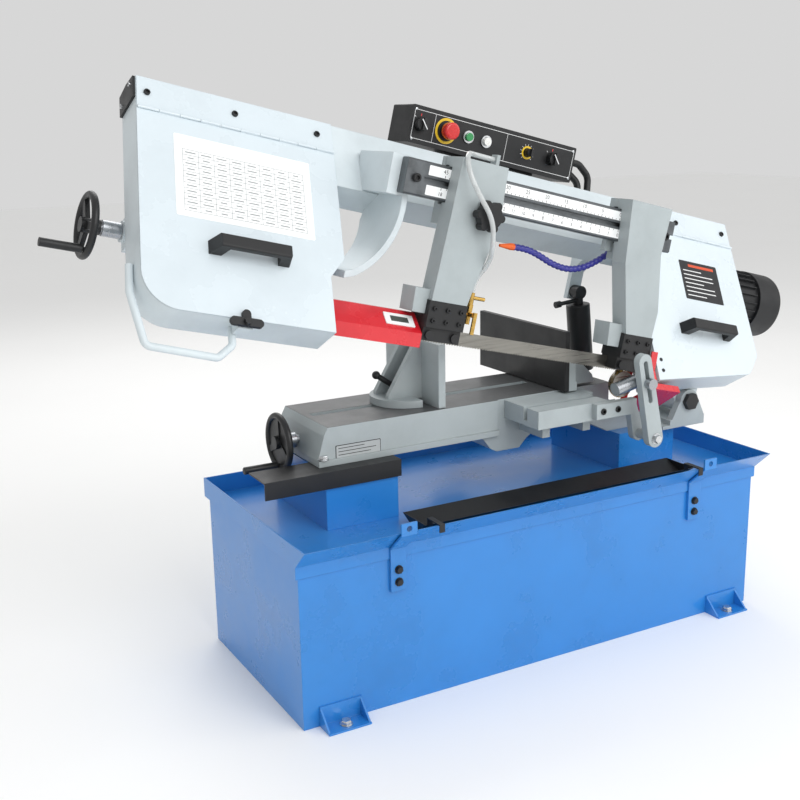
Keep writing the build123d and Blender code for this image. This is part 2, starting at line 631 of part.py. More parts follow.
def band_wheel(centre_u, bore):
    """A spoked band wheel in the wheel plane: rim, web with round windows, hub and bore."""
    drum(head, "y", (wheel_front, wheel_front + wheel_width), centre_u, -wheel_drop, rim_radius)
    drum(head, "y", (wheel_front - 1, wheel_front + 10), centre_u, -wheel_drop, rim_radius - 14, Mode.SUBTRACT)
    drum(head, "y", (wheel_front + 20, wheel_front + wheel_width + 1), centre_u, -wheel_drop, rim_radius - 14,
         Mode.SUBTRACT)
    drum(head, "y", (wheel_front - 6, wheel_front + wheel_width + 6), centre_u, -wheel_drop, 34)
    for step in range(5):
        turn = radians(72 * step + 36)
        drum(head, "y", (wheel_front, wheel_front + wheel_width), centre_u + 86 * cos(turn),
             -wheel_drop + 86 * sin(turn), 27, Mode.SUBTRACT)
    if bore:
        drum(head, "y", (0, 100), centre_u, -wheel_drop, bore, Mode.SUBTRACT)


with BuildPart() as idler_wheel:
    band_wheel(idler_u, axle_radius + running_clearance)
keep(idler_wheel.part, "idler_wheel")

with BuildPart() as tension_slide:
    drum(head, "y", (18, 90), idler_u, -wheel_drop, axle_radius)
    discs(head.side(wheel_front - 6.6), [(idler_u, -wheel_drop)], 22, 5)
    block(head, (idler_u - 38, idler_u + 38), (head_depth + 0.6, tension_depth + 20),
          (-wheel_drop - 30, -wheel_drop + 30))
    drum(head, "x", (idler_u - 40, idler_u + 40), tension_depth, -wheel_drop, 10 + running_clearance,
         Mode.SUBTRACT)
keep(tension_slide.part, "tension_slide")

tension_wheel_u = -1423.0
with BuildPart() as tension_screw:
    drum(head, "x", (tension_wheel_u, idler_u + 60), tension_depth, -wheel_drop, 10)
    drum(head, "x", (-1331.5, -1320), tension_depth, -wheel_drop, 18)
    drum(head, "x", (-1396, -1360.5), tension_depth, -wheel_drop, 15)
keep(tension_screw.part, "tension_screw")

with BuildPart() as tension_handwheel:
    handwheel(head, (tension_wheel_u, tension_depth, -wheel_drop))
    drum(head, "x", (tension_wheel_u, tension_wheel_u + 30), tension_depth, -wheel_drop, 10.02, Mode.SUBTRACT)
    drum(head, "x", (tension_wheel_u - 40, tension_wheel_u), tension_depth,
         -wheel_drop - handwheel_radius + 13, 4)
keep(tension_handwheel.part, "tension_handwheel")

with BuildPart() as tension_crank_grip:
    drum(head, "x", (tension_wheel_u - 84, tension_wheel_u - 9), tension_depth,
         -wheel_drop - handwheel_radius + 13, 8)
    drum(head, "x", (tension_wheel_u - 45, tension_wheel_u - 8), tension_depth,
         -wheel_drop - handwheel_radius + 13, 4.05, Mode.SUBTRACT)
keep(tension_crank_grip.part, "tension_crank_grip")

with BuildPart() as drive_wheel:
    band_wheel(drive_u, 0)
    drum(head, "y", (wheel_front - 10, 125), drive_u, -wheel_drop, 18)
keep(drive_wheel.part, "drive_wheel")

with BuildPart() as gearbox:
    with BuildSketch(head.side(gearbox_back)) as gearbox_outline:
        with Locations((drive_u, -wheel_drop)):
            Circle(78)
        with Locations((drive_u, -worm_drop)):
            Circle(62)
        with BuildLine():
            Polyline((drive_u - 78, -wheel_drop), (drive_u + 78, -wheel_drop), (drive_u + 62, -worm_drop),
                     (drive_u - 62, -worm_drop), close=True)
        make_face()
    extrude(gearbox_outline.sketch, amount=-118)
    fillet(gearbox.faces().filter_by(GeomType.PLANE).sort_by(SortBy.AREA)[-1].edges(), 6)
    drum(head, "x", (drive_u, drive_u + 72), worm_depth, -worm_drop, 66)
    drum(head, "y", (gearbox_back - 1, 130), drive_u, -wheel_drop, 18.1, Mode.SUBTRACT)
keep(gearbox.part, "gearbox")

motor_u = (drive_u + 72.5, 430.0)
with BuildPart() as motor:
    drum(head, "x", (motor_u[0], motor_u[0] + 14), worm_depth, -worm_drop, 84)
    drum(head, "x", (motor_u[0] + 14, motor_u[1] - 84), worm_depth, -worm_drop, 74)
    for step in range(24):
        with Locations(head.at((motor_u[0] + motor_u[1] - 70) / 2, worm_depth, -worm_drop, (15 * step, 0, 0))):
            with Locations((0, 0, 76)):
                Box(motor_u[1] - motor_u[0] - 116, 2.5, 12)
    drum(head, "x", (motor_u[1] - 84, motor_u[1]), worm_depth, -worm_drop, 83)
    fillet(motor.edges().filter_by(GeomType.CIRCLE).sort_by(Axis.X)[-1:], 12)
    block(head, (motor_u[0] + 70, motor_u[0] + 170), (worm_depth - 45, worm_depth + 45),
          (-worm_drop + 60, -worm_drop + 112))
keep(motor.part, "motor")

# The blade: upper run, half turns round both wheels, and the lower run twisted upright between the guides.
blade_head_angle = -wheel_cant
guide_u = (-862.0, -190.0)
flat_run = 26.0
low_d = wheel_depth
low_w = -wheel_drop - wheel_radius - blade_thickness / 2
cant = radians(wheel_cant)
blade_low_y = head_y + low_d * cos(cant) + low_w * sin(cant)
blade_low_v = head_z - low_d * sin(cant) + low_w * cos(cant)
twist_steps = 6
twist_u = (idler_u + flat_run, drive_u - flat_run)
stations = [(idler_u, blade_head_angle)]
stations += [(twist_u[0] + (guide_u[0] - twist_u[0]) * k / twist_steps,
              blade_head_angle - (90 - wheel_cant) * k / twist_steps) for k in range(twist_steps + 1)]
stations += [(guide_u[1] + (twist_u[1] - guide_u[1]) * k / twist_steps,
              -90 + (90 - wheel_cant) * k / twist_steps) for k in range(twist_steps + 1)]
stations += [(drive_u, blade_head_angle)]
with BuildPart() as blade:
    for station_u, station_angle in stations:
        with BuildSketch(bow.end(station_u)):
            with Locations((blade_low_y, blade_low_v)):
                Rectangle(blade_width, blade_thickness, rotation=station_angle)
    loft(ruled=True)
    for centre_u, side in ((idler_u, -1), (drive_u, 1)):
        with BuildSketch(head.side(wheel_depth - blade_width / 2)) as turn:
            with Locations((centre_u, -wheel_drop)):
                Circle(wheel_radius + blade_thickness)
                Circle(wheel_radius, mode=Mode.SUBTRACT)
            with Locations((centre_u - side * 200, -wheel_drop)):
                Rectangle(400, 400, mode=Mode.SUBTRACT)
        extrude(turn.sketch, amount=-blade_width)
    block(head, (idler_u, drive_u), (wheel_depth - blade_width / 2, wheel_depth + blade_width / 2),
          (-wheel_drop + wheel_radius, -wheel_drop + wheel_radius + blade_thickness))
keep(blade.part, "blade")

# ---------------------------------------------------------------- guide bar, arms and guards
with BuildPart() as guide_bar:
    block(bow, bar_u, (bar_front, bar_back), bar_v)
    chamfer(guide_bar.edges().filter_by(GeomType.LINE).sort_by(SortBy.LENGTH)[-4:], 3)
    block(bow, (bar_u[0] + 40, bar_u[1] + 1), (bar_front - 1, bar_front + 9), (353, 362), Mode.SUBTRACT)
keep(guide_bar.part, "guide_bar")

arm_fit = 0.4
with BuildPart() as left_guide_arm:
    prism(bow.side(arm_front), [(-782, 413), (-674, 413), (-670, 341), (-674, 300), (-679, 250), (-698, 176),
                                (-707, 132), (-790, 132), (-784, 300)], 45)
    prism(bow.side(-145), [(-782, 413), (-674, 413), (-672, 396), (-782, 396)], 33)
    prism(bow.side(-140), [(-783, 319), (-672, 319), (-676, 280), (-783, 280)], 28)
    block(bow, (-783, -673), (-125, -112), (280, 413))
    # upstand that holds the end of the coolant hose
    block(bow, (-676, -668), (-140, -120), (400, 438))
    prism(bow.side(-172), [(-824, 152), (-780, 152), (-780, 132.5), (-792.5, 132.5), (-792.5, 104),
                           (-822, 104)], 50)
    block(bow, (-800, -660), (bar_front - arm_fit, bar_back + arm_fit), (bar_v[0] - arm_fit, bar_v[1] + arm_fit),
          Mode.SUBTRACT)
    drum(bow, "y", (arm_front - 1, bar_front), -709, 312, 5, Mode.SUBTRACT)
keep(left_guide_arm.part, "left_guide_arm")

head_slot = 0.85
left_head_u = (-792.0, -703.5)
right_head_u = (-288.0, -205.0)


def guide_block(limits):
    """Black guide head: a body over the blade and two pads that the blade runs between."""
    low, high = limits
    block(bow, (low, high), (-184, -120), (79, 132))
    block(bow, (low, high), (-176, blade_low_y - head_slot), (52, 80))
    block(bow, (low, high), (blade_low_y + head_slot, -124), (52, 80))
    for roller_u in (low + 14, high - 14):
        drum(bow, "y", (-182, -176), roller_u, 64, 9)


with BuildPart() as left_guide_head:
    guide_block(left_head_u)
keep(left_guide_head.part, "left_guide_head")

with BuildPart() as guide_lock_knob:
    with BuildSketch(bow.side(arm_front - 8)) as star:
        with Locations((-709, 312)):
            Circle(26)
            with PolarLocations(25, 6):
                Circle(8)
    extrude(star.sketch, amount=20)
    fillet(guide_lock_knob.faces().sort_by(Axis.Y)[0].edges(), 2)
    drum(bow, "y", (arm_front - 9, arm_front + 25), -709, 312, 4.95)
    drum(bow, "y", (arm_front - 8, arm_front - 0.5), -709, 312, 12)
keep(guide_lock_knob.part, "guide_lock_knob")

valve_u = -688.0
with BuildPart() as coolant_valve:
    drum(bow, "z", (96, 160), valve_u, -165, 6.5)
    drum(bow, "x", (left_head_u[1], valve_u), -165, 116, 5)
    hexagon(bow.plan(122), [(valve_u, -165)], 14.5, 14)
    drum(bow, "x", (valve_u, valve_u + 32), -165, 150, 4)
    drum(bow, "y", (-188, -165), valve_u, 116, 5)
    block(bow, (valve_u - 3, valve_u + 5), (-192, -188), (78, 122))
keep(coolant_valve.part, "coolant_valve")

with BuildPart() as right_guide_arm:
    prism(bow.side(arm_front), [(-347, 414), (-232, 414), (-236, 312), (-209, 190), (-211, 132), (-286, 132),
                                (-330, 280)], 45)
    block(bow, (-345, -234), (-145, -112), (396, 414))
    block(bow, (-325, -234), (-140, -112), (285, 319))
    block(bow, (-345, -240), (-125.5, -112), (300, 414))
    prism(bow.side(-172), [(-326, 150), (-284, 150), (-284, 132.5), (-288.5, 132.5), (-288.5, 100),
                           (-320, 100)], 50)
    block(bow, (-360, -180), (bar_front, bar_back), bar_v, Mode.SUBTRACT)
keep(right_guide_arm.part, "right_guide_arm")

brush_centre = (-232.0, 19.0)
with BuildPart() as right_guide_head:
    guide_block(right_head_u)
    block(bow, (brush_centre[0] - 8, brush_centre[0] + 8), (-132, -124), (brush_centre[1] - 8, 60))
keep(right_guide_head.part, "right_guide_head")

with BuildPart() as blade_brush:
    drum(bow, "y", (-150, -134), *brush_centre, 29)
    drum(bow, "y", (-153, -132.3), *brush_centre, 11)
keep(blade_brush.part, "blade_brush")

with BuildPart() as left_blade_guard:
    guard_profile = [(-178, 36), (-178, 64), (-134, 100), (-118, 100), (-118, 98), (-133, 98), (-176, 63),
                     (-176, 38), (-158, 38), (-158, 36)]
    prism(bow.end(-793), guard_profile, 212)
keep(left_blade_guard.part, "left_blade_guard")

with BuildPart() as right_blade_guard:
    prism(bow.end(-183.5), [(-190, 62), (-214.5, 25), (-130, -40), (-118, -40), (-118, 62), (-120, 62),
                            (-120, -38), (-129, -38), (-211.5, 25.4), (-187.5, 62)], 18)
    prism(bow.end(-119), [(-204, 37), (-214.5, 25), (-130, -40), (-118, -40), (-118, -20), (-146, -2.5)], 65)
    prism(bow.side(-190), [(-204.5, 104), (-187, 104), (-184, 58), (-201.4, 58)], 3)
keep(right_blade_guard.part, "right_blade_guard")

# ---------------------------------------------------------------- control panel
panel_u = (-779.0, -341.0)
panel_y = (50.0, 137.0)
panel_v = (440.0, 519.0)
panel_row = 481.0
with BuildPart() as control_panel:
    block(bow, panel_u, panel_y, panel_v)
    fillet(control_panel.edges().filter_by(Axis.Y), 3)
    prism(bow.end(-440), [(62, 441), (62, 423.6), (100, 399.1), (100, 441)], 240)
    for spot_u in (-691.0, -634.0, -587.0):
        drum(bow, "y", (panel_y[0] - 1, panel_y[0] + 22), spot_u, panel_row, 8.6, Mode.SUBTRACT)
    for spot_u in (-757.0, -474.0, -406.0):
        drum(bow, "y", (panel_y[0] - 1, panel_y[0] + 12), spot_u, panel_row, 4.1, Mode.SUBTRACT)
    for spot_u, ring in ((-691.0, 21.0), (-634.0, 13.0), (-587.0, 13.0)):
        with BuildSketch(bow.side(panel_y[0])) as bezel:
            with Locations((spot_u, panel_row)):
                Circle(ring)
                Circle(8.6, mode=Mode.SUBTRACT)
        extrude(bezel.sketch, amount=3)
keep(control_panel.part, "control_panel")

face_y = panel_y[0]
with BuildPart() as emergency_stop:
    drum(bow, "y", (face_y - 30, face_y - 12), -691, panel_row, 18)
    fillet(emergency_stop.edges().filter_by(GeomType.CIRCLE).group_by(Axis.Y)[0], 5)
    drum(bow, "y", (face_y - 14, face_y + 12), -691, panel_row, 8.5)
keep(emergency_stop.part, "emergency_stop")

for button_name, button_u in (("start_button", -634.0), ("reset_button", -587.0)):
    with BuildPart() as button:
        drum(bow, "y", (face_y - 9, face_y + 12), button_u, panel_row, 8.5)
    keep(button.part, button_name)

for knob_name, knob_u, knob_radius in (("power_selector", -757.0, 14.0), ("speed_knob", -474.0, 9.0),
                                       ("pump_selector", -406.0, 14.0)):
    with BuildPart() as knob:
        drum(bow, "y", (face_y - 16, face_y - 0.4), knob_u, panel_row, knob_radius)
        block(bow, (knob_u - 3, knob_u + 3), (face_y - 22, face_y - 15),
              (panel_row - knob_radius + 1, panel_row + knob_radius - 1))
        drum(bow, "y", (face_y - 1, face_y + 10), knob_u, panel_row, 4)
    keep(knob.part, knob_name)


def tube_along(frame, points, radii, radius):
    """A round tube of straight runs joined by tangent arcs."""
    with BuildLine() as route:
        FilletPolyline(*[(frame.place * Location(p)).position for p in points], radius=radii)
    with BuildSketch(Plane(route.line @ 0, z_dir=route.line % 0)) as section:
        Circle(radius)
    sweep(section.sketch, path=route.line)


beam_slope = tan(radians(wheel_cant))
with BuildPart() as panel_conduits:
    for shift in (0.0, 19.0):
        end_y = 78 + shift / 2
        tube_along(bow, [(panel_u[1] + 0.1, 84 + shift, 490 - shift), (-300 - shift, 84 + shift, 490 - shift),
                         (-266 - shift, 84 + shift / 2, 468 - shift),
                         (-262 - shift, end_y, head_z - beam_slope * (end_y - head_y) + 5.4)], [26, 26], 8)
keep(panel_conduits.part, "panel_conduits")


def bend_radii(points):
    """Radius of the arc at each inner point: 0.45 of the shorter run beside it, over tan(half the turn)."""
    radii = []
    for before, here, after in zip(points, points[1:], points[2:]):
        arriving, leaving = Vector(here) - Vector(before), Vector(after) - Vector(here)
        half_turn = radians(arriving.get_angle(leaving)) / 2
        radii.append(0.45 * min(arriving.length, leaving.length) / tan(half_turn))
    return radii


# ---------------------------------------------------------------- hoses
coolant_points = [(-676.1, -130, 428), (-722, -130, 428), (-772, -178, 424), (-780, -213, 384),
                  (-752, -222, 345), (-714, -224, 308), (-697, -219, 262), (-678, -190, 222),
                  (valve_u, -165, 188), (valve_u, -165, 160.1)]
coolant_radii = bend_radii(coolant_points)
with BuildPart() as coolant_hose:
    tube_along(bow, coolant_points, coolant_radii, 5)
print("coolant_hose radii", [round(value, 1) for value in coolant_radii])
keep(coolant_hose.part, "coolant_hose")

nozzle_points = [(-570, -97, 267), (-532, -94, 270), (-492, -93, 262), (-450, -93, 248), (-404, -93, 244),
                 (-362, -93, 256), (-322, -93, 282), (nozzle_end[0] - 22.6, -93, nozzle_end[2] - 22.6),
                 (nozzle_end[0] - 0.1, -93, nozzle_end[2] - 0.1)]
nozzle_radii = bend_radii(nozzle_points)
with BuildPart() as nozzle_hose:
    tube_along(bow, nozzle_points, nozzle_radii, 6)
print("nozzle_hose radii", [round(value, 1) for value in nozzle_radii])
keep(nozzle_hose.part, "nozzle_hose")

# ---------------------------------------------------------------- lowering cylinder
top_pin = (bow.place * Location((cylinder_top[0], 0, cylinder_top[1]))).position
lean_x, lean_z = cylinder_foot[0] - top_pin.X, cylinder_foot[1] - top_pin.Z
cylinder_length = (lean_x ** 2 + lean_z ** 2) ** 0.5
leaning = Frame(Location((top_pin.X, 0, top_pin.Z), (0, degrees(atan2(-lean_x, -lean_z)), 0)))
barrel_span = (-195.0, -30.0)
with BuildPart() as cylinder_barrel:
    drum(leaning, "z", barrel_span, 0, cylinder_y, 29)
    fillet(cylinder_barrel.edges().filter_by(GeomType.CIRCLE), 3)
    drum(leaning, "z", (barrel_span[1] - 1, -4), 0, cylinder_y - 2, 12)
    drum(leaning, "y", (cylinder_y - 16, cylinder_y + 11.5), 0, 0, 16)
    drum(leaning, "y", (cylinder_y - 16, cylinder_y + 30), 0, 0, 6)
    # flow valve that sets how fast the bow comes down
    drum(leaning, "x", (-58, -4), cylinder_y - 4, -19, 5)
    drum(leaning, "x", (-70, -56), cylinder_y - 4, -19, 8)
    drum(leaning, "z", (barrel_span[0] - 1, -52), 0, cylinder_y, 8 + running_clearance, Mode.SUBTRACT)
keep(cylinder_barrel.part, "cylinder_barrel")

with BuildPart() as cylinder_rod:
    drum(leaning, "z", (-cylinder_length + 15, -95), 0, cylinder_y, 8)
    drum(leaning, "y", (cylinder_y - 11, cylinder_y + 11), 0, -cylinder_length, 18)
    drum(leaning, "y", (cylinder_y - 12, cylinder_y + 12), 0, -cylinder_length, 13, Mode.SUBTRACT)
keep(cylinder_rod.part, "cylinder_rod")
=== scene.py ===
"""Looks of a horizontal metal-cutting band saw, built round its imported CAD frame."""

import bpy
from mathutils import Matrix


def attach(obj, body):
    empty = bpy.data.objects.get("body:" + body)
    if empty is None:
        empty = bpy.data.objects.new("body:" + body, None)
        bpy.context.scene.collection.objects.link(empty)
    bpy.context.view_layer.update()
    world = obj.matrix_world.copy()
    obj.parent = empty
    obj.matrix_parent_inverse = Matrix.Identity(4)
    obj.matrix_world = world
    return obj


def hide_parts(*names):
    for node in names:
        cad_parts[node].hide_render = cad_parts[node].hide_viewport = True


bl_info = {
    "name": "Band Saw Looks",
    "version": (1, 0, 0),
    "blender": (4, 5, 0),
    "location": "View3D > Sidebar > Band Saw",
    "description": "Fasteners, scales, plates, hoses, teeth and finishes for a horizontal band saw",
    "category": "Add Mesh",
}

from math import cos, pi, radians, sin

import bpy
import numpy as np
from bpy.props import FloatProperty, FloatVectorProperty, IntProperty, PointerProperty
from mathutils import Matrix, Vector

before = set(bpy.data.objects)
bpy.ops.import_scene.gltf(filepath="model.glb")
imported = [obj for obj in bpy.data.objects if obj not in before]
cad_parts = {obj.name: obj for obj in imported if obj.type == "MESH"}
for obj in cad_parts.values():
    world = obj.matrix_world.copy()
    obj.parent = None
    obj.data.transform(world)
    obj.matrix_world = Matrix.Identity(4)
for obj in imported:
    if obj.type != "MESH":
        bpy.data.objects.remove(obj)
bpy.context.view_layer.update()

# The saw's own axes in metres: the base stands on the floor, the bow turns on its pivot, and the wheel
# boxes lean back from the bow by the cant.
BASE = Matrix.Identity(4)
BOW = Matrix.Translation((0.481, 0.0, 0.492)) @ Matrix.Rotation(radians(13.74), 4, "Y")
HEAD = BOW @ Matrix.Translation((0.0, 0.0447, 0.4346)) @ Matrix.Rotation(radians(-32.9), 4, "X")
STOP = Matrix.Translation((0.262, 0.0, 0.466)) @ Matrix.Rotation(radians(-12.0), 4, "Y")
FACING = {
    "front": Matrix.Rotation(radians(90), 4, "X"),
    "back": Matrix.Rotation(radians(-90), 4, "X"),
    "left": Matrix.Rotation(radians(-90), 4, "Y"),
    "right": Matrix.Rotation(radians(90), 4, "Y"),
    "up": Matrix.Identity(4),
}


def linear(code):
    """An sRGB hex colour as linear red, green and blue."""
    parts = [int(code[k:k + 2], 16) / 255 for k in (0, 2, 4)]
    return tuple(c / 12.92 if c <= 0.04045 else ((c + 0.055) / 1.055) ** 2.4 for c in parts)


# ------------------------------------------------------------------ surfaces
def spot(axes, x, y, z, facing="up", turn=0.0):
    """Where a piece stands: millimetres on one set of axes, its own Z turned to face a side."""
    return (axes @ Matrix.Translation((x / 1000, y / 1000, z / 1000)) @ FACING[facing]
            @ Matrix.Rotation(turn, 4, "Z"))


def turned(profile, steps=32, phase=0.0):
    """A profile of (radius, height) in mm carried round Z: x = r cos a, y = r sin a, z = h; both ends capped."""
    radius, height = np.array(profile, float).T / 1000
    angle = np.linspace(0, 2 * pi, steps, endpoint=False) + phase
    points = np.stack([np.outer(radius, np.cos(angle)), np.outer(radius, np.sin(angle)),
                       np.repeat(height[:, None], steps, 1)], -1).reshape(-1, 3)
    row = np.arange(len(radius) - 1)[:, None] * steps
    here = np.arange(steps)[None]
    after = (here + 1) % steps
    sides = np.stack([row + here, row + after, row + steps + after, row + steps + here], -1).reshape(-1, 4)
    last = (len(radius) - 1) * steps
    return points, sides.tolist() + [list(range(steps))[::-1], list(range(last, last + steps))]


def slab(outline, thickness, start=0.0):
    """A closed outline in the XY plane, in mm, carried up Z by its thickness; the outline runs anticlockwise."""
    flat = np.array(outline, float) / 1000
    count = len(flat)
    low = np.c_[flat, np.full(count, start / 1000)]
    high = np.c_[flat, np.full(count, (start + thickness) / 1000)]
    here = np.arange(count)
    after = (here + 1) % count
    sides = np.stack([here, after, after + count, here + count], -1)
    return np.r_[low, high], sides.tolist() + [list(range(count))[::-1], list(range(count, 2 * count))]


def bar(x, y, z):
    """A box between three pairs of limits in mm."""
    return slab([(x[0], y[0]), (x[1], y[0]), (x[1], y[1]), (x[0], y[1])], z[1] - z[0], z[0])


def rounded(width, height, corner, steps=6):
    """A rectangle outline with quarter-circle corners, in mm: each corner's centre plus r cos a, r sin a."""
    angle = np.linspace(0, pi / 2, steps)
    parts = []
    for quarter, (sx, sy) in enumerate(((1, 1), (-1, 1), (-1, -1), (1, -1))):
        arc = angle + quarter * pi / 2
        parts.append(np.stack([sx * (width / 2 - corner) + corner * np.cos(arc),
                               sy * (height / 2 - corner) + corner * np.sin(arc)], -1))
    return np.concatenate(parts)


def ring(outer, inner, low, high, steps=40):
    """A flat ring in mm: a closed square section carried round Z."""
    section = np.array([(inner, low), (outer, low), (outer, high), (inner, high)], float) / 1000
    angle = np.linspace(0, 2 * pi, steps, endpoint=False)
    points = np.stack([np.outer(section[:, 0], np.cos(angle)), np.outer(section[:, 0], np.sin(angle)),
                       np.repeat(section[:, 1:], steps, 1)], -1).reshape(-1, 3)
    row = np.arange(4)[:, None] * steps
    following = (np.arange(4)[:, None] + 1) % 4 * steps
    here = np.arange(steps)[None]
    after = (here + 1) % steps
    faces = np.stack([row + here, row + after, following + after, following + here], -1).reshape(-1, 4)
    return points, faces.tolist()


def placed(shape, places):
    """Copies of a shape, each moved by a 4x4 matrix: every point times the matrix's turn plus its shift."""
    points, faces = shape
    all_points, all_faces = [], []
    for number, place in enumerate(places):
        matrix = np.array(place)
        all_points.append(points @ matrix[:3, :3].T + matrix[:3, 3])
        shift = number * len(points)
        all_faces += [[corner + shift for corner in face] for face in faces]
    return np.concatenate(all_points), all_faces


def together(*shapes):
    """Several shapes as one."""
    points, faces, count = [], [], 0
    for part_points, part_faces in shapes:
        points.append(part_points)
        faces += [[corner + count for corner in face] for face in part_faces]
        count += len(part_points)
    return np.concatenate(points), faces


def make(name, shape, material, body, edge=35.0):
    """A mesh object at the origin from a shape's points and faces, with its material and the body it rides on."""
    points, faces = shape
    mesh = bpy.data.meshes.new(name)
    mesh.from_pydata(points.tolist(), [], faces)
    mesh.validate()
    mesh.shade_smooth()
    mesh.set_sharp_from_angle(angle=radians(edge))
    piece = bpy.data.objects.new(name, mesh)
    bpy.context.scene.collection.objects.link(piece)
    piece.data.materials.append(material)
    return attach(piece, body)


def lettering(words, height, thickness=0.12):
    """Figures as a flat solid shape in mm, lying in the XY plane and centred on the origin."""
    curve = bpy.data.curves.new("figures", "FONT")
    curve.body, curve.size = words, height / 1000
    curve.align_x, curve.align_y = "CENTER", "CENTER"
    curve.extrude, curve.resolution_u = thickness / 2000, 3
    holder = bpy.data.objects.new("figures", curve)
    bpy.context.scene.collection.objects.link(holder)
    bpy.context.view_layer.update()
    mesh = bpy.data.meshes.new_from_object(holder.evaluated_get(bpy.context.evaluated_depsgraph_get()))
    points = np.empty(len(mesh.vertices) * 3)
    mesh.vertices.foreach_get("co", points)
    faces = [list(face.vertices) for face in mesh.polygons]
    bpy.data.objects.remove(holder)
    bpy.data.curves.remove(curve)
    bpy.data.meshes.remove(mesh)
    return points.reshape(-1, 3), faces


def hex_bolt(across, height, washer=0.0):
    """A hexagon head with a chamfered crown on a plain washer: a six-sided and a round profile about Z."""
    corner = across / 2 / cos(pi / 6)
    low = 1.6 if washer else 0.0
    head = turned([(corner, low), (corner, low + height * 0.82), (corner * 0.9, low + height)], 6)
    return together(head, turned([(washer, 0.0), (washer, 1.5)], 28)) if washer else head


def socket_bolt(radius, height):
    """A round head with a rounded edge and a sunk round key hole."""
    edge = radius * 0.14
    head = turned([(radius, 0), (radius, height - edge), (radius - edge, height), (radius * 0.52, height),
                   (radius * 0.5, height - radius * 0.5)], 24)
    return head


def screw_head(radius, height):
    """A domed screw head with a sunk centre."""
    return turned([(radius, 0), (radius * 0.94, height * 0.5), (radius * 0.7, height * 0.85),
                   (radius * 0.36, height), (radius * 0.3, height * 0.4)], 22)


# ------------------------------------------------------------------ finishes
def node(tree, kind, links=None, **values):
    """Adds one shader node, sets its sockets or properties, and joins sockets to earlier outputs."""
    made = tree.nodes.new(kind)
    for key, value in values.items():
        name = key.replace("_", " ")
        if name in made.inputs:
            made.inputs[name].default_value = value
        else:
            setattr(made, key, value)
    for name, output in (links or {}).items():
        tree.links.new(output, made.inputs[name])
    return made


def finish(name, colour, roughness=0.4, metallic=0.0, mottle=0.06, mottle_mm=60.0, grain=0.0, grain_mm=1.5,
           coat=0.0, stretch=(1, 1, 1), dirt=0.0, transmission=0.0, edge_mm=0.0,
           bare_above=None):
    """A finish: one colour with slow variation, grain in its bump and roughness, and grime in patches.

    The colour is the base times 1 - mottle * noise; roughness is the base plus or minus 0.12 * noise;
    the bump is fine noise of the grain size. All patterns use Object coordinates in metres.
    Above the height bare_above, in metres, the paint gives way to dark machined iron."""
    material = bpy.data.materials.new(name)
    material.use_nodes = True
    tree = material.node_tree
    shader = tree.nodes["Principled BSDF"]
    shader.inputs["Metallic"].default_value = metallic
    shader.inputs["Coat Weight"].default_value = coat
    shader.inputs["Coat Roughness"].default_value = 0.12
    shader.inputs["Transmission Weight"].default_value = transmission
    place = node(tree, "ShaderNodeTexCoord").outputs["Object"]
    if stretch != (1, 1, 1):
        place = node(tree, "ShaderNodeMapping", {"Vector": place}, Scale=stretch).outputs["Vector"]
    slow = node(tree, "ShaderNodeTexNoise", {"Vector": place}, Scale=1000 / mottle_mm, Detail=5.0,
                Roughness=0.6).outputs["Fac"]
    fine = node(tree, "ShaderNodeTexNoise", {"Vector": place}, Scale=1000 / grain_mm, Detail=3.0,
                Roughness=0.55).outputs["Fac"]
    base = (*colour[:3], 1.0)
    dark = tuple(c * (1 - 2.2 * mottle) for c in colour[:3]) + (1.0,)
    pale = tuple(min(1.0, c * (1 + mottle)) for c in colour[:3]) + (1.0,)
    ramp = node(tree, "ShaderNodeValToRGB", {"Fac": slow})
    ramp.color_ramp.elements[0].position, ramp.color_ramp.elements[0].color = 0.28, dark
    ramp.color_ramp.elements[1].position, ramp.color_ramp.elements[1].color = 0.72, pale
    middle = ramp.color_ramp.elements.new(0.5)
    middle.color = base
    shade = ramp.outputs["Color"]
    if dirt:
        spread = node(tree, "ShaderNodeTexNoise", {"Vector": place}, Scale=9.0, Detail=7.0,
                      Roughness=0.68).outputs["Fac"]
        mask = node(tree, "ShaderNodeMapRange", {"Value": spread}, From_Min=0.52, From_Max=0.74,
                    To_Min=0.0, To_Max=dirt).outputs["Result"]
        mix = node(tree, "ShaderNodeMix", {"Factor": mask}, data_type="RGBA")
        tree.links.new(shade, mix.inputs[6])
        mix.inputs[7].default_value = (0.045, 0.04, 0.034, 1)
        shade = mix.outputs[2]
    if bare_above is not None:
        height = node(tree, "ShaderNodeSeparateXYZ", {"Vector": place}).outputs["Z"]
        bare = node(tree, "ShaderNodeMapRange", {"Value": height}, From_Min=bare_above - 0.0006,
                    From_Max=bare_above - 0.0002).outputs["Result"]
        mix = node(tree, "ShaderNodeMix", {"Factor": bare}, data_type="RGBA")
        tree.links.new(shade, mix.inputs[6])
        mix.inputs[7].default_value = (0.075, 0.078, 0.08, 1)
        shade = mix.outputs[2]
    tree.links.new(shade, shader.inputs["Base Color"])
    rough = node(tree, "ShaderNodeMapRange", {"Value": slow}, From_Min=0.25, From_Max=0.75,
                 To_Min=max(0.03, roughness - 0.1), To_Max=min(1.0, roughness + 0.12)).outputs["Result"]
    tree.links.new(rough, shader.inputs["Roughness"])
    bump_links = {"Height": fine}
    if edge_mm:
        bump_links["Normal"] = node(tree, "ShaderNodeBevel", samples=4, Radius=edge_mm / 1000).outputs["Normal"]
    bump = node(tree, "ShaderNodeBump", bump_links, Strength=max(grain, 0.02), Distance=0.0004)
    tree.links.new(bump.outputs["Normal"], shader.inputs["Normal"])
    return material


# ------------------------------------------------------------------ settings
def length(name, text, default):
    return FloatProperty(name=name, description=text, default=default, min=0.0, unit="LENGTH", precision=4)


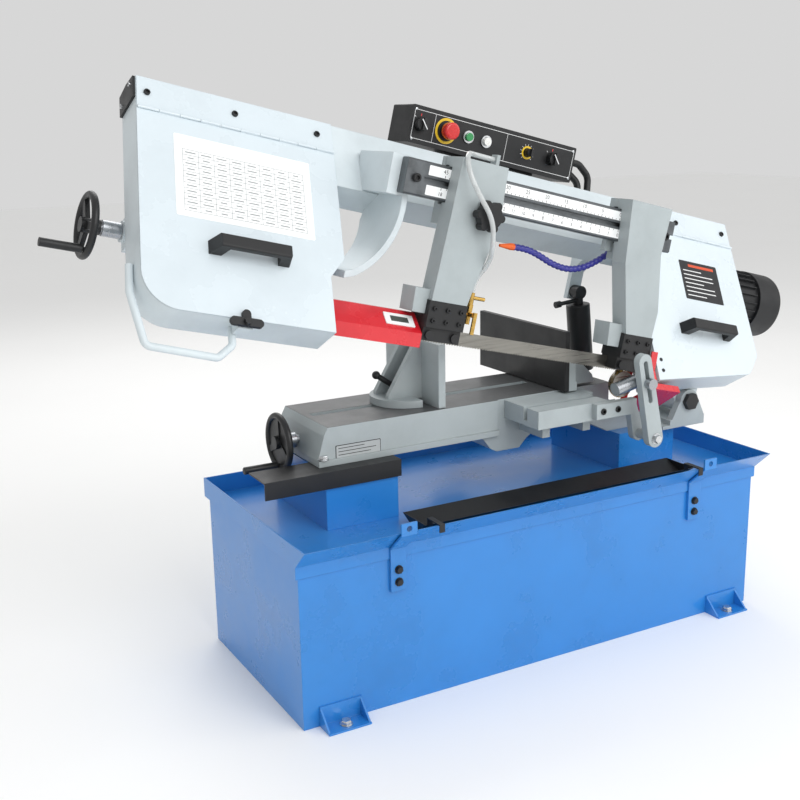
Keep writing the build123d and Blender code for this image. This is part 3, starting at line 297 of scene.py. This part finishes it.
def colour(name, text, code):
    return FloatVectorProperty(name=name, description=text, default=linear(code), size=3, min=0, max=1,
                               subtype="COLOR")


class SawSizes(bpy.types.PropertyGroup):
    """Sizes of the pieces that are made here."""
    coolant_bore: length("Coolant hose", "Outside diameter of the clear coolant hose", 0.010)
    nozzle_bore: length("Nozzle hose", "Outside diameter of the segmented nozzle hose", 0.012)
    tooth_pitch: length("Tooth pitch", "Distance from one blade tooth to the next", 0.0064)
    scale_step: length("Scale step", "Distance between the marks of the upper scale", 0.010)
    scale_figures: length("Scale figures", "Height of the figures on the scales", 0.0112)
    bristle_rows: IntProperty(name="Bristle rows", description="Rows of wires on the blade brush",
                              default=5, min=1, max=12)
    lamp_watts: FloatProperty(name="Key lamp", description="Power of the large soft lamp", default=74.0,
                              min=0.0, subtype="POWER")


class SawColours(bpy.types.PropertyGroup):
    """Colours of the paints and plastics."""
    cabinet: colour("Cabinet blue", "Paint of the cabinet, tray and pedestals", "2A80CC")
    casting: colour("Casting grey", "Paint of the bed, jaws and guide arms", "A6AFB1")
    bow: colour("Bow grey", "Paint of the bow and gearbox", "D0DADE")
    door: colour("Door grey", "Paint of the two wheel doors", "D3DEE4")
    guard: colour("Guard red", "Paint of the blade guards", "D3232E")
    black: colour("Black", "Black paint and plastic", "141517")
    hose: colour("Nozzle hose blue", "Plastic of the segmented nozzle hose", "2B2C8C")
    tip: colour("Nozzle orange", "Plastic of the nozzle tip", "E8641E")
    brass: colour("Brass", "Metal of the coolant valve", "C9A45A")


MATERIALS = {}


def settings():
    return bpy.context.scene.saw_sizes, bpy.context.scene.saw_colours


class SawFinishes(bpy.types.Operator):
    """Make the finishes and give every CAD piece its own"""
    bl_idname = "bandsaw.finishes"
    bl_label = "Finishes"

    def execute(self, context):
        _, tones = settings()
        m = MATERIALS
        m["blue"] = finish("cabinet enamel", tones.cabinet, 0.30, mottle=0.05, mottle_mm=140, grain=0.12,
                           grain_mm=3.5, coat=0.35, edge_mm=1.2)
        m["casting"] = finish("casting paint", tones.casting, 0.42, mottle=0.045, mottle_mm=90, grain=0.35,
                              grain_mm=3.0, coat=0.12, dirt=0.06, edge_mm=2.0)
        m["bow"] = finish("bow paint", tones.bow, 0.42, mottle=0.04, mottle_mm=90, grain=0.35, grain_mm=3.0,
                          coat=0.12, dirt=0.05, edge_mm=2.0)
        m["bed"] = finish("bed paint", tones.casting, 0.42, mottle=0.045, mottle_mm=90, grain=0.35,
                          grain_mm=3.0, coat=0.12, dirt=0.06, edge_mm=2.0, bare_above=0.55)
        m["door"] = finish("door enamel", tones.door, 0.28, mottle=0.025, mottle_mm=160, grain=0.08,
                           grain_mm=3.0, coat=0.4, edge_mm=1.0)
        m["guard"] = finish("guard enamel", tones.guard, 0.26, mottle=0.05, mottle_mm=70, grain=0.1,
                            grain_mm=2.5, coat=0.5, edge_mm=0.8)
        m["black paint"] = finish("black paint", tones.black, 0.48, mottle=0.14, mottle_mm=50, grain=0.3,
                                  grain_mm=1.6, coat=0.08, edge_mm=0.8)
        m["black plastic"] = finish("black plastic", tones.black, 0.46, mottle=0.1, mottle_mm=40, grain=0.45,
                                    grain_mm=0.8, edge_mm=0.8)
        m["panel"] = finish("panel powder coat", tones.black, 0.55, mottle=0.08, mottle_mm=60, grain=0.5,
                            grain_mm=1.0, edge_mm=0.8)
        m["iron"] = finish("ground iron", linear("6E7275"), 0.36, 0.9, mottle=0.16, mottle_mm=45, grain=0.4,
                           grain_mm=0.7, stretch=(1, 9, 1), dirt=0.25)
        m["steel"] = finish("turned steel", linear("A9ACB0"), 0.28, 1.0, mottle=0.04, mottle_mm=60, grain=0.08,
                            grain_mm=0.4, stretch=(8, 1, 1))
        m["zinc"] = finish("zinc plate", linear("C9CBCD"), 0.22, 1.0, mottle=0.1, mottle_mm=12, grain=0.15,
                           grain_mm=0.8)
        m["blade"] = finish("blade steel", linear("8E8C86"), 0.3, 1.0, mottle=0.12, mottle_mm=18, grain=0.15,
                            grain_mm=0.4, stretch=(0.2, 1, 4))
        m["motor"] = finish("motor black", linear("1B1C1E"), 0.5, 0.1, mottle=0.08, mottle_mm=40, grain=0.5,
                            grain_mm=1.5, edge_mm=1.0)
        m["brass"] = finish("brass", tones.brass, 0.28, 1.0, mottle=0.12, mottle_mm=10, grain=0.15, grain_mm=0.6)
        m["hose"] = finish("clear hose", linear("DCE0E0"), 0.16, mottle=0.04, mottle_mm=20, grain=0.05,
                           grain_mm=1.0, transmission=0.35, coat=0.5)
        m["nozzle"] = finish("nozzle plastic", tones.hose, 0.3, mottle=0.08, mottle_mm=8, grain=0.1,
                             grain_mm=0.8, coat=0.3)
        m["tip"] = finish("nozzle tip plastic", tones.tip, 0.32, mottle=0.06, mottle_mm=8, grain=0.1, grain_mm=0.8)
        m["red"] = finish("red button plastic", linear("D02020"), 0.24, mottle=0.05, mottle_mm=9, grain=0.06,
                          grain_mm=0.9, coat=0.5)
        m["green"] = finish("green button plastic", linear("1E8E4A"), 0.28, mottle=0.05, mottle_mm=9, grain=0.06,
                            grain_mm=0.9, coat=0.4)
        m["white"] = finish("white plastic", linear("ECECE8"), 0.3, mottle=0.03, mottle_mm=9, grain=0.06,
                            grain_mm=0.9, coat=0.3)
        m["yellow"] = finish("yellow print", linear("E6C02A"), 0.45, mottle=0.04, mottle_mm=9)
        m["print"] = finish("white print", linear("E9EAEA"), 0.5, mottle=0.03, mottle_mm=12)
        m["ink"] = finish("black print", linear("17181A"), 0.5, mottle=0.05, mottle_mm=12)
        m["faint ink"] = finish("faint print", linear("7C8083"), 0.5, mottle=0.05, mottle_mm=12)
        m["orange ink"] = finish("orange print", linear("D2502A"), 0.5, mottle=0.05, mottle_mm=12)
        m["plate"] = finish("printed plate", linear("F2F4F4"), 0.34, mottle=0.02, mottle_mm=60, grain=0.05)
        m["grey plate"] = finish("grey printed plate", linear("AEB3B4"), 0.36, mottle=0.03, mottle_mm=60,
                                 grain=0.05)
        m["screen"] = finish("display glass", linear("454E49"), 0.16, mottle=0.05, mottle_mm=20, coat=0.6)
        wanted = {
            "blue": "cabinet floor_feet chip_tray bed_pedestals eye_brackets",
            "bed": "bed_casting",
            "bow": "bow_casting gearbox pull_handle",
            "casting": "pivot_bracket left_guide_arm right_guide_arm movable_jaw swivel_jaw stop_bracket "
                       "stop_arm",
            "door": "left_door right_door hinge_strips",
            "guard": "left_blade_guard right_blade_guard",
            "black paint": "splash_angle chip_trough jaw_plate pivot_shaft vise_handwheel tension_handwheel "
                           "left_guide_head right_guide_head cylinder_barrel",
            "black plastic": "coolant_pump left_door_handle right_door_handle door_latch vise_crank_grip "
                             "tension_crank_grip guide_lock_knob jaw_lock_lever power_selector pump_selector "
                             "speed_knob panel_conduits",
            "panel": "control_panel",
            "iron": "guide_bar tension_slide idler_wheel drive_wheel",
            "steel": "vise_screw tension_screw stop_pin",
            "zinc": "cylinder_rod",
            "blade": "blade blade_brush",
            "motor": "motor",
            "brass": "coolant_valve",
            "red": "emergency_stop", "green": "start_button", "white": "reset_button",
        }
        for key, names in wanted.items():
            for name in names.split():
                self.paint(name, m[key])
        return {"FINISHED"}

    @staticmethod
    def paint(name, material):
        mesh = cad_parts[name].data
        if not mesh.materials:
            mesh.materials.append(material)
        for number in range(len(mesh.materials)):
            mesh.materials[number] = material


class SawCamera(bpy.types.Operator):
    """Set the camera at the operator's left, looking slightly down at the saw"""
    bl_idname = "bandsaw.camera"
    bl_label = "Camera"

    def execute(self, context):
        yaw, pitch, roll = radians(29.0), radians(14.12), radians(-1.04)
        forward = Vector((sin(yaw) * cos(pitch), cos(yaw) * cos(pitch), -sin(pitch)))
        right = Vector((cos(yaw), -sin(yaw), 0))
        up = right.cross(forward)
        across = right * cos(roll) + up * sin(roll)
        above = -right * sin(roll) + up * cos(roll)
        data = bpy.data.cameras.new("camera")
        data.lens, data.sensor_width = 51.26, 36.0
        camera = bpy.data.objects.new("camera", data)
        turn = Matrix((across, above, -forward)).transposed().to_4x4()
        camera.matrix_world = Matrix.Translation((-1.3774, -2.0746, 1.1616)) @ turn
        context.scene.collection.objects.link(camera)
        context.scene.camera = camera
        return {"FINISHED"}


def hose(name, points, diameter, material, body, node_name):
    """A hose as a smooth NURBS line through the control points of its route, in mm on the bow's axes."""
    curve = bpy.data.curves.new(name, "CURVE")
    curve.dimensions = "3D"
    line = curve.splines.new("NURBS")
    line.points.add(len(points) - 1)
    for number, point in enumerate(points):
        line.points[number].co = (*(BOW @ (Vector(point) / 1000)), 1)
    line.order_u = 3
    line.use_endpoint_u = True
    line.resolution_u = 12
    curve.bevel_depth = diameter / 2
    curve.bevel_resolution = 6
    curve.use_fill_caps = True
    piece = bpy.data.objects.new(name, curve)
    bpy.context.scene.collection.objects.link(piece)
    curve.materials.append(material)
    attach(piece, body)
    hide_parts(node_name)
    return piece


def route_of(piece):
    """Points along a hose's own smooth line, in metres."""
    bare = piece.data.copy()
    bare.bevel_depth = 0.0
    holder = bpy.data.objects.new("line", bare)
    bpy.context.scene.collection.objects.link(holder)
    bpy.context.view_layer.update()
    mesh = bpy.data.meshes.new_from_object(holder.evaluated_get(bpy.context.evaluated_depsgraph_get()))
    points = np.empty(len(mesh.vertices) * 3)
    mesh.vertices.foreach_get("co", points)
    bpy.data.objects.remove(holder)
    bpy.data.curves.remove(bare)
    bpy.data.meshes.remove(mesh)
    return points.reshape(-1, 3)


def along(points, distance):
    """Place and direction at a distance along a line of points, by linear interpolation of its arc length."""
    steps = np.linalg.norm(np.diff(points, axis=0), axis=1)
    reach = np.r_[0, np.cumsum(steps)]
    here = np.array([np.interp(distance, reach, points[:, k]) for k in range(3)])
    ahead = np.array([np.interp(min(distance + 0.002, reach[-1]), reach, points[:, k]) for k in range(3)])
    behind = np.array([np.interp(max(distance - 0.002, 0), reach, points[:, k]) for k in range(3)])
    return Vector(here), Vector(ahead - behind).normalized(), reach[-1]


def facing_along(here, direction):
    """A matrix at a point whose Z looks along a direction."""
    return Matrix.Translation(here) @ direction.to_track_quat("Z", "Y").to_matrix().to_4x4()


class SawHoses(bpy.types.Operator):
    """Run the clear coolant hose and the segmented nozzle hose"""
    bl_idname = "bandsaw.hoses"
    bl_label = "Hoses"

    def execute(self, context):
        sizes, _ = settings()
        clear = hose("coolant_line", [
            (-676.1, -130, 428), (-722, -130, 428), (-772, -178, 424), (-780, -213, 384), (-752, -222, 345),
            (-714, -224, 308), (-697, -219, 262), (-678, -190, 222), (-688, -165, 188), (-688, -165, 160.1)],
            sizes.coolant_bore, MATERIALS["hose"], "sliding_guide", "coolant_hose")
        blue = hose("nozzle_line", [
            (-262.1, -93, 337.9), (-284.6, -93, 315.4), (-322, -93, 282), (-362, -93, 256),
            (-404, -93, 244), (-450, -93, 248), (-492, -93, 262), (-532, -94, 270), (-570, -97, 267)],
            sizes.nozzle_bore, MATERIALS["nozzle"], "saw_bow", "nozzle_hose")
        line = route_of(blue)
        total = along(line, 0)[2]
        bead = turned([(4.6, -6.2), (7.1, -5.2), (7.4, -1.0), (5.9, 2.6), (4.9, 4.6)], 20)
        count = int(total / 0.0115)
        places = [facing_along(*along(line, (k + 0.5) * total / count)[:2]) for k in range(count)]
        beads = make("nozzle_beads", placed(bead, places), MATERIALS["nozzle"], "saw_bow")
        here, direction, _ = along(line, total)
        tip_profile = [(7.3, -8), (7.3, 2), (6.6, 5), (4.2, 22), (3.2, 30), (2.1, 30), (1.8, 22)]
        tip = make("nozzle_tip", placed(turned(tip_profile, 28), [facing_along(here, direction)]),
                   MATERIALS["tip"], "saw_bow")
        return {"FINISHED"}


class SawStage(bpy.types.Operator):
    """Lay the pale floor and hang the soft lamps"""
    bl_idname = "bandsaw.stage"
    bl_label = "Stage"

    def execute(self, context):
        sizes, _ = settings()
        reach = 14.0
        points = np.array([(-reach, -reach, 0), (reach, -reach, 0), (reach, reach, 0), (-reach, reach, 0)])
        mesh = bpy.data.meshes.new("floor")
        mesh.from_pydata(points.tolist(), [], [(0, 1, 2, 3)])
        floor = bpy.data.objects.new("floor", mesh)
        context.scene.collection.objects.link(floor)
        mesh.materials.append(finish("studio floor", linear("FCFCFB"), 0.75, mottle=0.004, mottle_mm=900))
        for name, watts, size, place, aim in (
                ("key lamp", sizes.lamp_watts, 2.6, (0.2, -3.3, 2.8), (0, 0, 0.6)),
                ("fill lamp", sizes.lamp_watts * 0.45, 3.0, (3.0, -2.4, 2.2), (0, 0, 0.6)),
                ("back lamp", sizes.lamp_watts * 0.6, 2.4, (0.6, 3.0, 3.2), (0, 0, 0.7))):
            data = bpy.data.lights.new(name, "AREA")
            data.energy, data.size = watts, size
            lamp = bpy.data.objects.new(name, data)
            direction = Vector(aim) - Vector(place)
            lamp.matrix_world = (Matrix.Translation(place)
                                 @ direction.to_track_quat("-Z", "Y").to_matrix().to_4x4())
            context.scene.collection.objects.link(lamp)
        world = bpy.data.worlds.new("studio")
        world.use_nodes = True
        world.node_tree.nodes["Background"].inputs["Color"].default_value = (1.0, 1.0, 1.0, 1)
        world.node_tree.nodes["Background"].inputs["Strength"].default_value = 0.68
        context.scene.world = world
        context.scene.view_settings.view_transform = "Standard"
        return {"FINISHED"}


class SawFasteners(bpy.types.Operator):
    """Put in the bolts and screws of the base, bow, doors and guides"""
    bl_idname = "bandsaw.fasteners"
    bl_label = "Fasteners"

    def execute(self, context):
        m = MATERIALS
        feet = [spot(BASE, x, y, 4.0, turn=0.4 * x) for x in (-505, 505) for y in (-260.75, 260.75)]
        make("floor_bolts", placed(hex_bolt(19, 8, 13), feet), m["zinc"], "base")
        brackets = [spot(BASE, x, -243.5, z, "front", z) for x in (-372, 401) for z in (267, 293)]
        make("bracket_bolts", placed(hex_bolt(13, 5.5, 9), brackets), m["black paint"], "base")
        stops = [spot(BASE, x, -207, 529, "front") for x in (160, 200)]
        make("stop_bolts", placed(socket_bolt(7, 3.5), stops), m["black plastic"], "base")
        make("bed_bolts", placed(hex_bolt(17, 7, 12), [
            spot(BASE, x, y, 485, turn=x) for x in (-445,) for y in (-68,)] + [
            spot(BASE, 510, y, 452, turn=y) for y in (22,)]), m["zinc"], "base")
        make("swivel_bolt", placed(hex_bolt(24, 11, 18), [spot(BASE, 196, 62, 570.4, turn=0.3)]), m["zinc"],
             "mitre_jaw")
        strip = [spot(HEAD, u, 0, -33, "front") for u in (-1345, -1172, -997, -20, 136)]
        make("strip_bolts", placed(socket_bolt(6.2, 4.5), strip), m["black plastic"], "saw_bow")
        make("right_door_screws", placed(screw_head(4.4, 2.4), [
            spot(HEAD, u, 0, w, "front") for u, w in ((-163.5, -412), (-163, -438))]),
            m["black plastic"], "right_wheel_door")
        for name, body, u, w in (("left_handle_bolts", "left_wheel_door", -1160, -333),
                                 ("right_handle_bolts", "right_wheel_door", 0, -322)):
            make(name, placed(socket_bolt(4.6, 3), [spot(HEAD, u + s * 72, -9, w, "front") for s in (-1, 1)]),
                 m["black plastic"], body)
        make("bar_bolts", placed(socket_bolt(8.5, 8), [
            spot(BOW, u, -152, 356.5, "front") for u in (-858, -208)]), m["black plastic"], "saw_bow")
        make("guide_head_bolts", placed(socket_bolt(4.6, 4.2), [
            spot(BOW, u, -184, v, "front") for u in (-779, -748, -717) for v in (93, 117)]),
            m["black plastic"], "sliding_guide")
        make("right_head_bolts", placed(socket_bolt(4.6, 4.2), [
            spot(BOW, u, -184, v, "front") for u in (-275, -246, -218) for v in (93, 117)]),
            m["black plastic"], "saw_bow")
        make("gearbox_bolts", placed(hex_bolt(10, 4.5, 7), [
            spot(HEAD, -5 + 66 * cos(a), 195.1, -263 + 66 * sin(a), "back")
            for a in (3.4, 4.1, 4.8, 5.5, 6.1)]), m["zinc"], "saw_bow")
        make("stop_arm_nut", placed(hex_bolt(17, 8, 12), [spot(STOP, 0, -262, 0, "front")]), m["zinc"],
             "stop_link")
        make("panel_screws", placed(screw_head(3.4, 1.8), [
            spot(BOW, u, 50, v, "front") for u in (-771, -349) for v in (449, 510)]), m["zinc"], "saw_bow")
        return {"FINISHED"}


class SawScales(bpy.types.Operator):
    """Fix the two printed scales to the guide bar, with their marks and figures"""
    bl_idname = "bandsaw.scales"
    bl_label = "Scales"

    def execute(self, context):
        sizes, _ = settings()
        m = MATERIALS
        height = sizes.scale_figures * 1000
        plates, marks = [], []
        for low, high, v in ((-832, -238, 376.5), (-832, -238, 338.5)):
            outline = rounded(high - low, 19, 1.5) + np.array([(low + high) / 2, 0])
            plates.append(placed(slab(outline, 0.24), [spot(BOW, 0, -152, v, "front")]))
        make("scale_plates", together(*plates), m["plate"], "saw_bow")
        zero, step, face = -343.5, sizes.scale_step * 1000, -152.24
        tick = [(zero - k * step, 367.4, 3.0 if k % 5 else 5.0) for k in range(int(450 / step) + 1)]
        inch = 25.4
        tick += [(-341 - k * inch / 2, 347.6 - (4.6 if k % 2 == 0 else 2.6), 4.6 if k % 2 == 0 else 2.6)
                 for k in range(37)]
        for u, v, size in tick:
            marks.append(placed(bar((-0.6, 0.6), (0, size), (0, 0.1)), [spot(BOW, u, face, v, "front")]))
        for number in range(0, 50, 5):
            marks.append(placed(lettering(str(number), height),
                                [spot(BOW, zero - number * 10, face, 379.2, "front")]))
        for number in range(0, 19):
            marks.append(placed(lettering(str(number), height * 0.88),
                                [spot(BOW, -341 - number * inch, face, 335.6, "front")]))
        make("scale_marks", together(*marks), m["ink"], "saw_bow")
        return {"FINISHED"}


def rows_of_print(width, height, rows, columns, seed, weight=1.0):
    """Plain blocks that stand for a table: ruled lines and short bars whose lengths vary smoothly."""
    parts = []
    for k in range(rows + 1):
        v = -height / 2 + height * k / rows
        parts.append(bar((-width / 2, width / 2), (v - 0.3, v + 0.3), (0, 0.1)))
    for k in range(columns + 1):
        u = -width / 2 + width * k / columns
        parts.append(bar((u - 0.3, u + 0.3), (-height / 2, height / 2), (0, 0.1)))
    for row in range(rows):
        for column in range(columns):
            share = 0.45 + 0.35 * abs(sin(seed + 1.7 * row + 2.9 * column))
            u = -width / 2 + width * (column + 0.5) / columns
            v = -height / 2 + height * (row + 0.5) / rows
            half = width / columns * share * 0.42
            parts.append(bar((u - half, u + half), (v - weight, v + weight), (0, 0.1)))
    return together(*parts)


class SawPlates(bpy.types.Operator):
    """Fix the printed plates of the doors and bed, and the print of the control panel"""
    bl_idname = "bandsaw.plates"
    bl_label = "Plates"

    def execute(self, context):
        m = MATERIALS
        chart = spot(HEAD, -1159, -0.05, -192, "front")
        make("speed_chart", placed(slab(rounded(276, 171, 3), 0.5), [chart]), m["plate"], "left_wheel_door")
        print_place = spot(HEAD, -1159, -0.55, -201, "front")
        make("chart_rows", placed(rows_of_print(244, 128, 11, 8, 0.4, 0.9), [print_place]), m["faint ink"],
             "left_wheel_door")
        label = spot(HEAD, 25, -0.05, -186.5, "front")
        make("dark_label", placed(slab(rounded(124, 103, 3), 0.5), [label]), m["ink"], "right_wheel_door")
        rows = [bar((-54, -54 + 60 + 40 * abs(sin(2.1 * k))), (26 - 11 * k, 28.4 - 11 * k), (0, 0.1))
                for k in range(7)]
        make("label_rows", placed(together(*rows), [spot(HEAD, 25, -0.55, -188, "front")]), m["print"],
             "right_wheel_door")
        make("label_heading", placed(bar((-34, 50), (38, 45), (0, 0.12)), [spot(HEAD, 25, -0.55, -188, "front")]),
             m["orange ink"], "right_wheel_door")
        make("bed_plate_edge", placed(slab(rounded(104, 29, 2), 0.4), [spot(BASE, -365, -68, 495, "front")]),
             m["ink"], "base")
        make("bed_plate", placed(slab(rounded(101, 26, 2), 0.4), [spot(BASE, -365, -68.4, 495, "front")]),
             m["grey plate"], "base")
        text = [bar((-46, -46 + 60 + 28 * abs(sin(1.3 * k))), (7 - 7 * k, 8.4 - 7 * k), (0, 0.1))
                for k in range(3)]
        make("bed_plate_rows", placed(together(*text), [spot(BASE, -365, -68.8, 495, "front")]), m["ink"], "base")
        # print of the control panel: one border, two dividers, rings and dial marks
        face = 49.95
        border = together(bar((-774, -346), (509.4, 510.4), (0, 0.12)), bar((-774, -346), (449.6, 450.6), (0, 0.12)),
                          bar((-774, -773), (450, 510), (0, 0.12)), bar((-347, -346), (450, 510), (0, 0.12)),
                          bar((-722, -721.2), (450, 510), (0, 0.12)), bar((-534, -533.2), (450, 510), (0, 0.12)))
        dial = [placed(bar((-0.4, 0.4), (15, 19), (0, 0.12)),
                       [spot(BASE, -474, 481, 0, turn=radians(-135 + 27 * k))]) for k in range(11)]
        ticks = [placed(bar((-0.5, 0.5), (18, 22), (0, 0.12)), [spot(BASE, u, 481, 0, turn=radians(a))])
                 for u in (-757, -406) for a in (-45, 45)]
        flat = together(border, *dial, *ticks)
        stops = together(*[placed(bar((-1.1, 1.1), (17, 22), (0, 0.12)), [spot(BASE, u, 481, 0)])
                           for u in (-757, -406)])
        make("panel_stops", placed(stops, [spot(BOW, 0, face, 0, "front")]), m["red"], "saw_bow")
        make("panel_print", placed(flat, [spot(BOW, 0, face, 0, "front")]), m["print"], "saw_bow")
        rings = together(placed(ring(27, 21.6, 0, 0.3), [spot(BOW, -691, 50, 481, "front")]),
                         placed(ring(14.5, 10.4, 0, 0.3), [spot(BOW, -474, 50, 481, "front")]))
        make("panel_rings", rings, m["yellow"], "saw_bow")
        bezels = together(*[placed(ring(13.2, 9.2, 0, 3.6), [spot(BOW, u, 50, 481, "front")])
                            for u in (-634, -587)])
        make("button_bezels", bezels, m["zinc"], "saw_bow")
        make("power_line", placed(bar((-1, 1), (-12, 12), (0, 0.4)), [spot(BOW, -757, 28, 481, "front", 0.7)]),
             m["print"], "power_switch")
        make("pump_line", placed(bar((-1, 1), (-12, 12), (0, 0.4)), [spot(BOW, -406, 28, 481, "front", 0.7)]),
             m["print"], "pump_switch")
        return {"FINISHED"}


class SawDisplay(bpy.types.Operator):
    """Fix the small display to the left blade guard and the end cap to the bow"""
    bl_idname = "bandsaw.display"
    bl_label = "Display and End Cap"

    def execute(self, context):
        m = MATERIALS
        slope = Matrix.Rotation(radians(39.3), 4, "X")
        seat = BOW @ Matrix.Translation((-0.838, -0.1565, 0.0820)) @ slope
        make("guard_display", placed(slab(rounded(66, 30, 2), 2.0, 0.2), [seat]), m["plate"], "sliding_guide")
        make("display_glass", placed(slab(rounded(40, 14, 1), 0.5, 2.2), [seat]), m["screen"], "sliding_guide")
        cap = slab([(3.6, -44), (77, -44), (77, 0), (40, 4), (3.6, 0)], 5)
        turn = Matrix(((0, 0, -1, 0), (1, 0, 0, 0), (0, 1, 0, 0), (0, 0, 0, 1)))
        points, faces = placed(cap, [HEAD @ Matrix.Translation((-1.365, 0, 0)) @ turn])
        make("end_cap", (points, [face[::-1] for face in faces]), m["black plastic"], "saw_bow")
        make("end_cap_bolts", placed(socket_bolt(4.5, 4), [
            spot(HEAD, -1370, d, w, "left") for d, w in ((16, -12), (62, -30))]), m["zinc"], "saw_bow")
        return {"FINISHED"}


class SawTeeth(bpy.types.Operator):
    """Cut the teeth of the lower run of the blade, and the wires of its brush"""
    bl_idname = "bandsaw.teeth"
    bl_label = "Teeth and Bristles"

    def execute(self, context):
        sizes, _ = settings()
        m = MATERIALS
        pitch = sizes.tooth_pitch * 1000
        count = int((806 - 190) / pitch)
        tooth = slab([(0, 0), (pitch * 0.95, 0), (pitch * 0.35, -2.6), (pitch * 0.1, -2.4)], 0.9, -0.45)
        drop = 434.6 - 45 * sin(radians(32.9)) - 413.45 * cos(radians(32.9)) - 13.4
        deep = 44.7 + 45 * cos(radians(32.9)) - 413.45 * sin(radians(32.9))
        places = [spot(BOW, -806 + pitch * k, deep + 0.25 * ((k % 3) - 1), drop, "front") for k in range(count)]
        make("blade_teeth", placed(tooth, places), m["blade"], "saw_bow")
        wires = []
        for row in range(sizes.bristle_rows):
            for k in range(46):
                angle = 2 * pi * (k + row * 0.37) / 46
                root = (BOW @ Matrix.Translation((-0.232, -0.148 + row * 0.003, 0.019))
                        @ Matrix.Rotation(-angle, 4, "Y") @ FACING["right"])
                wires.append(root @ Matrix.Translation((0, 0, 0.026)))
        wire = turned([(0.7, 0), (0.55, 3.4), (0.3, 6.0)], 5)
        make("brush_wires", placed(wire, wires), m["brass"], "brush")
        return {"FINISHED"}


class SawMotor(bpy.types.Operator):
    """Dress the motor with its fan grille and the junction box lid"""
    bl_idname = "bandsaw.motor"
    bl_label = "Motor Dressing"

    def execute(self, context):
        m = MATERIALS
        end = spot(HEAD, 430, 167, -107, "right")
        bars = [placed(ring(18 + 11 * k, 15 + 11 * k, 0, 1.2, 48), [end]) for k in range(5)]
        ribs = [placed(bar((12, 66), (-1.6, 1.6), (0.2, 1.6)), [end @ Matrix.Rotation(k * pi / 4, 4, "Z")])
                for k in range(8)]
        make("fan_grille", together(*bars, *ribs), m["black plastic"], "saw_bow")
        lid = slab(rounded(96, 86, 6), 6)
        place = spot(HEAD, 187.5, 167, 5.0)
        make("junction_lid", placed(lid, [place]), m["motor"], "saw_bow")
        make("junction_screws", placed(screw_head(3.6, 2), [
            place @ Matrix.Translation((sx * 0.04, sy * 0.035, 0.006)) for sx in (-1, 1) for sy in (-1, 1)]),
            m["zinc"], "saw_bow")
        return {"FINISHED"}


OPERATORS = (SawFinishes, SawCamera, SawHoses, SawStage, SawFasteners, SawScales, SawPlates, SawDisplay,
             SawTeeth, SawMotor)


class SawPanel(bpy.types.Panel):
    """Sizes, colours and pieces of the band saw"""
    bl_idname = "VIEW3D_PT_bandsaw"
    bl_label = "Band Saw"
    bl_space_type = "VIEW_3D"
    bl_region_type = "UI"
    bl_category = "Band Saw"

    def draw(self, context):
        for group in (context.scene.saw_sizes, context.scene.saw_colours):
            column = self.layout.column()
            for name in group.__annotations__:
                column.prop(group, name)
        for operator in OPERATORS:
            self.layout.operator(operator.bl_idname)


CLASSES = (SawSizes, SawColours, *OPERATORS, SawPanel)


def register():
    for item in CLASSES:
        bpy.utils.register_class(item)
    bpy.types.Scene.saw_sizes = PointerProperty(type=SawSizes)
    bpy.types.Scene.saw_colours = PointerProperty(type=SawColours)


def unregister():
    del bpy.types.Scene.saw_colours
    del bpy.types.Scene.saw_sizes
    for item in reversed(CLASSES):
        bpy.utils.unregister_class(item)


def main():
    register()
    bpy.ops.bandsaw.finishes()
    bpy.ops.bandsaw.camera()
    bpy.ops.bandsaw.hoses()
    bpy.ops.bandsaw.stage()
    bpy.ops.bandsaw.fasteners()
    bpy.ops.bandsaw.scales()
    bpy.ops.bandsaw.plates()
    bpy.ops.bandsaw.display()
    bpy.ops.bandsaw.teeth()
    bpy.ops.bandsaw.motor()


if __name__ == "__main__":
    main()
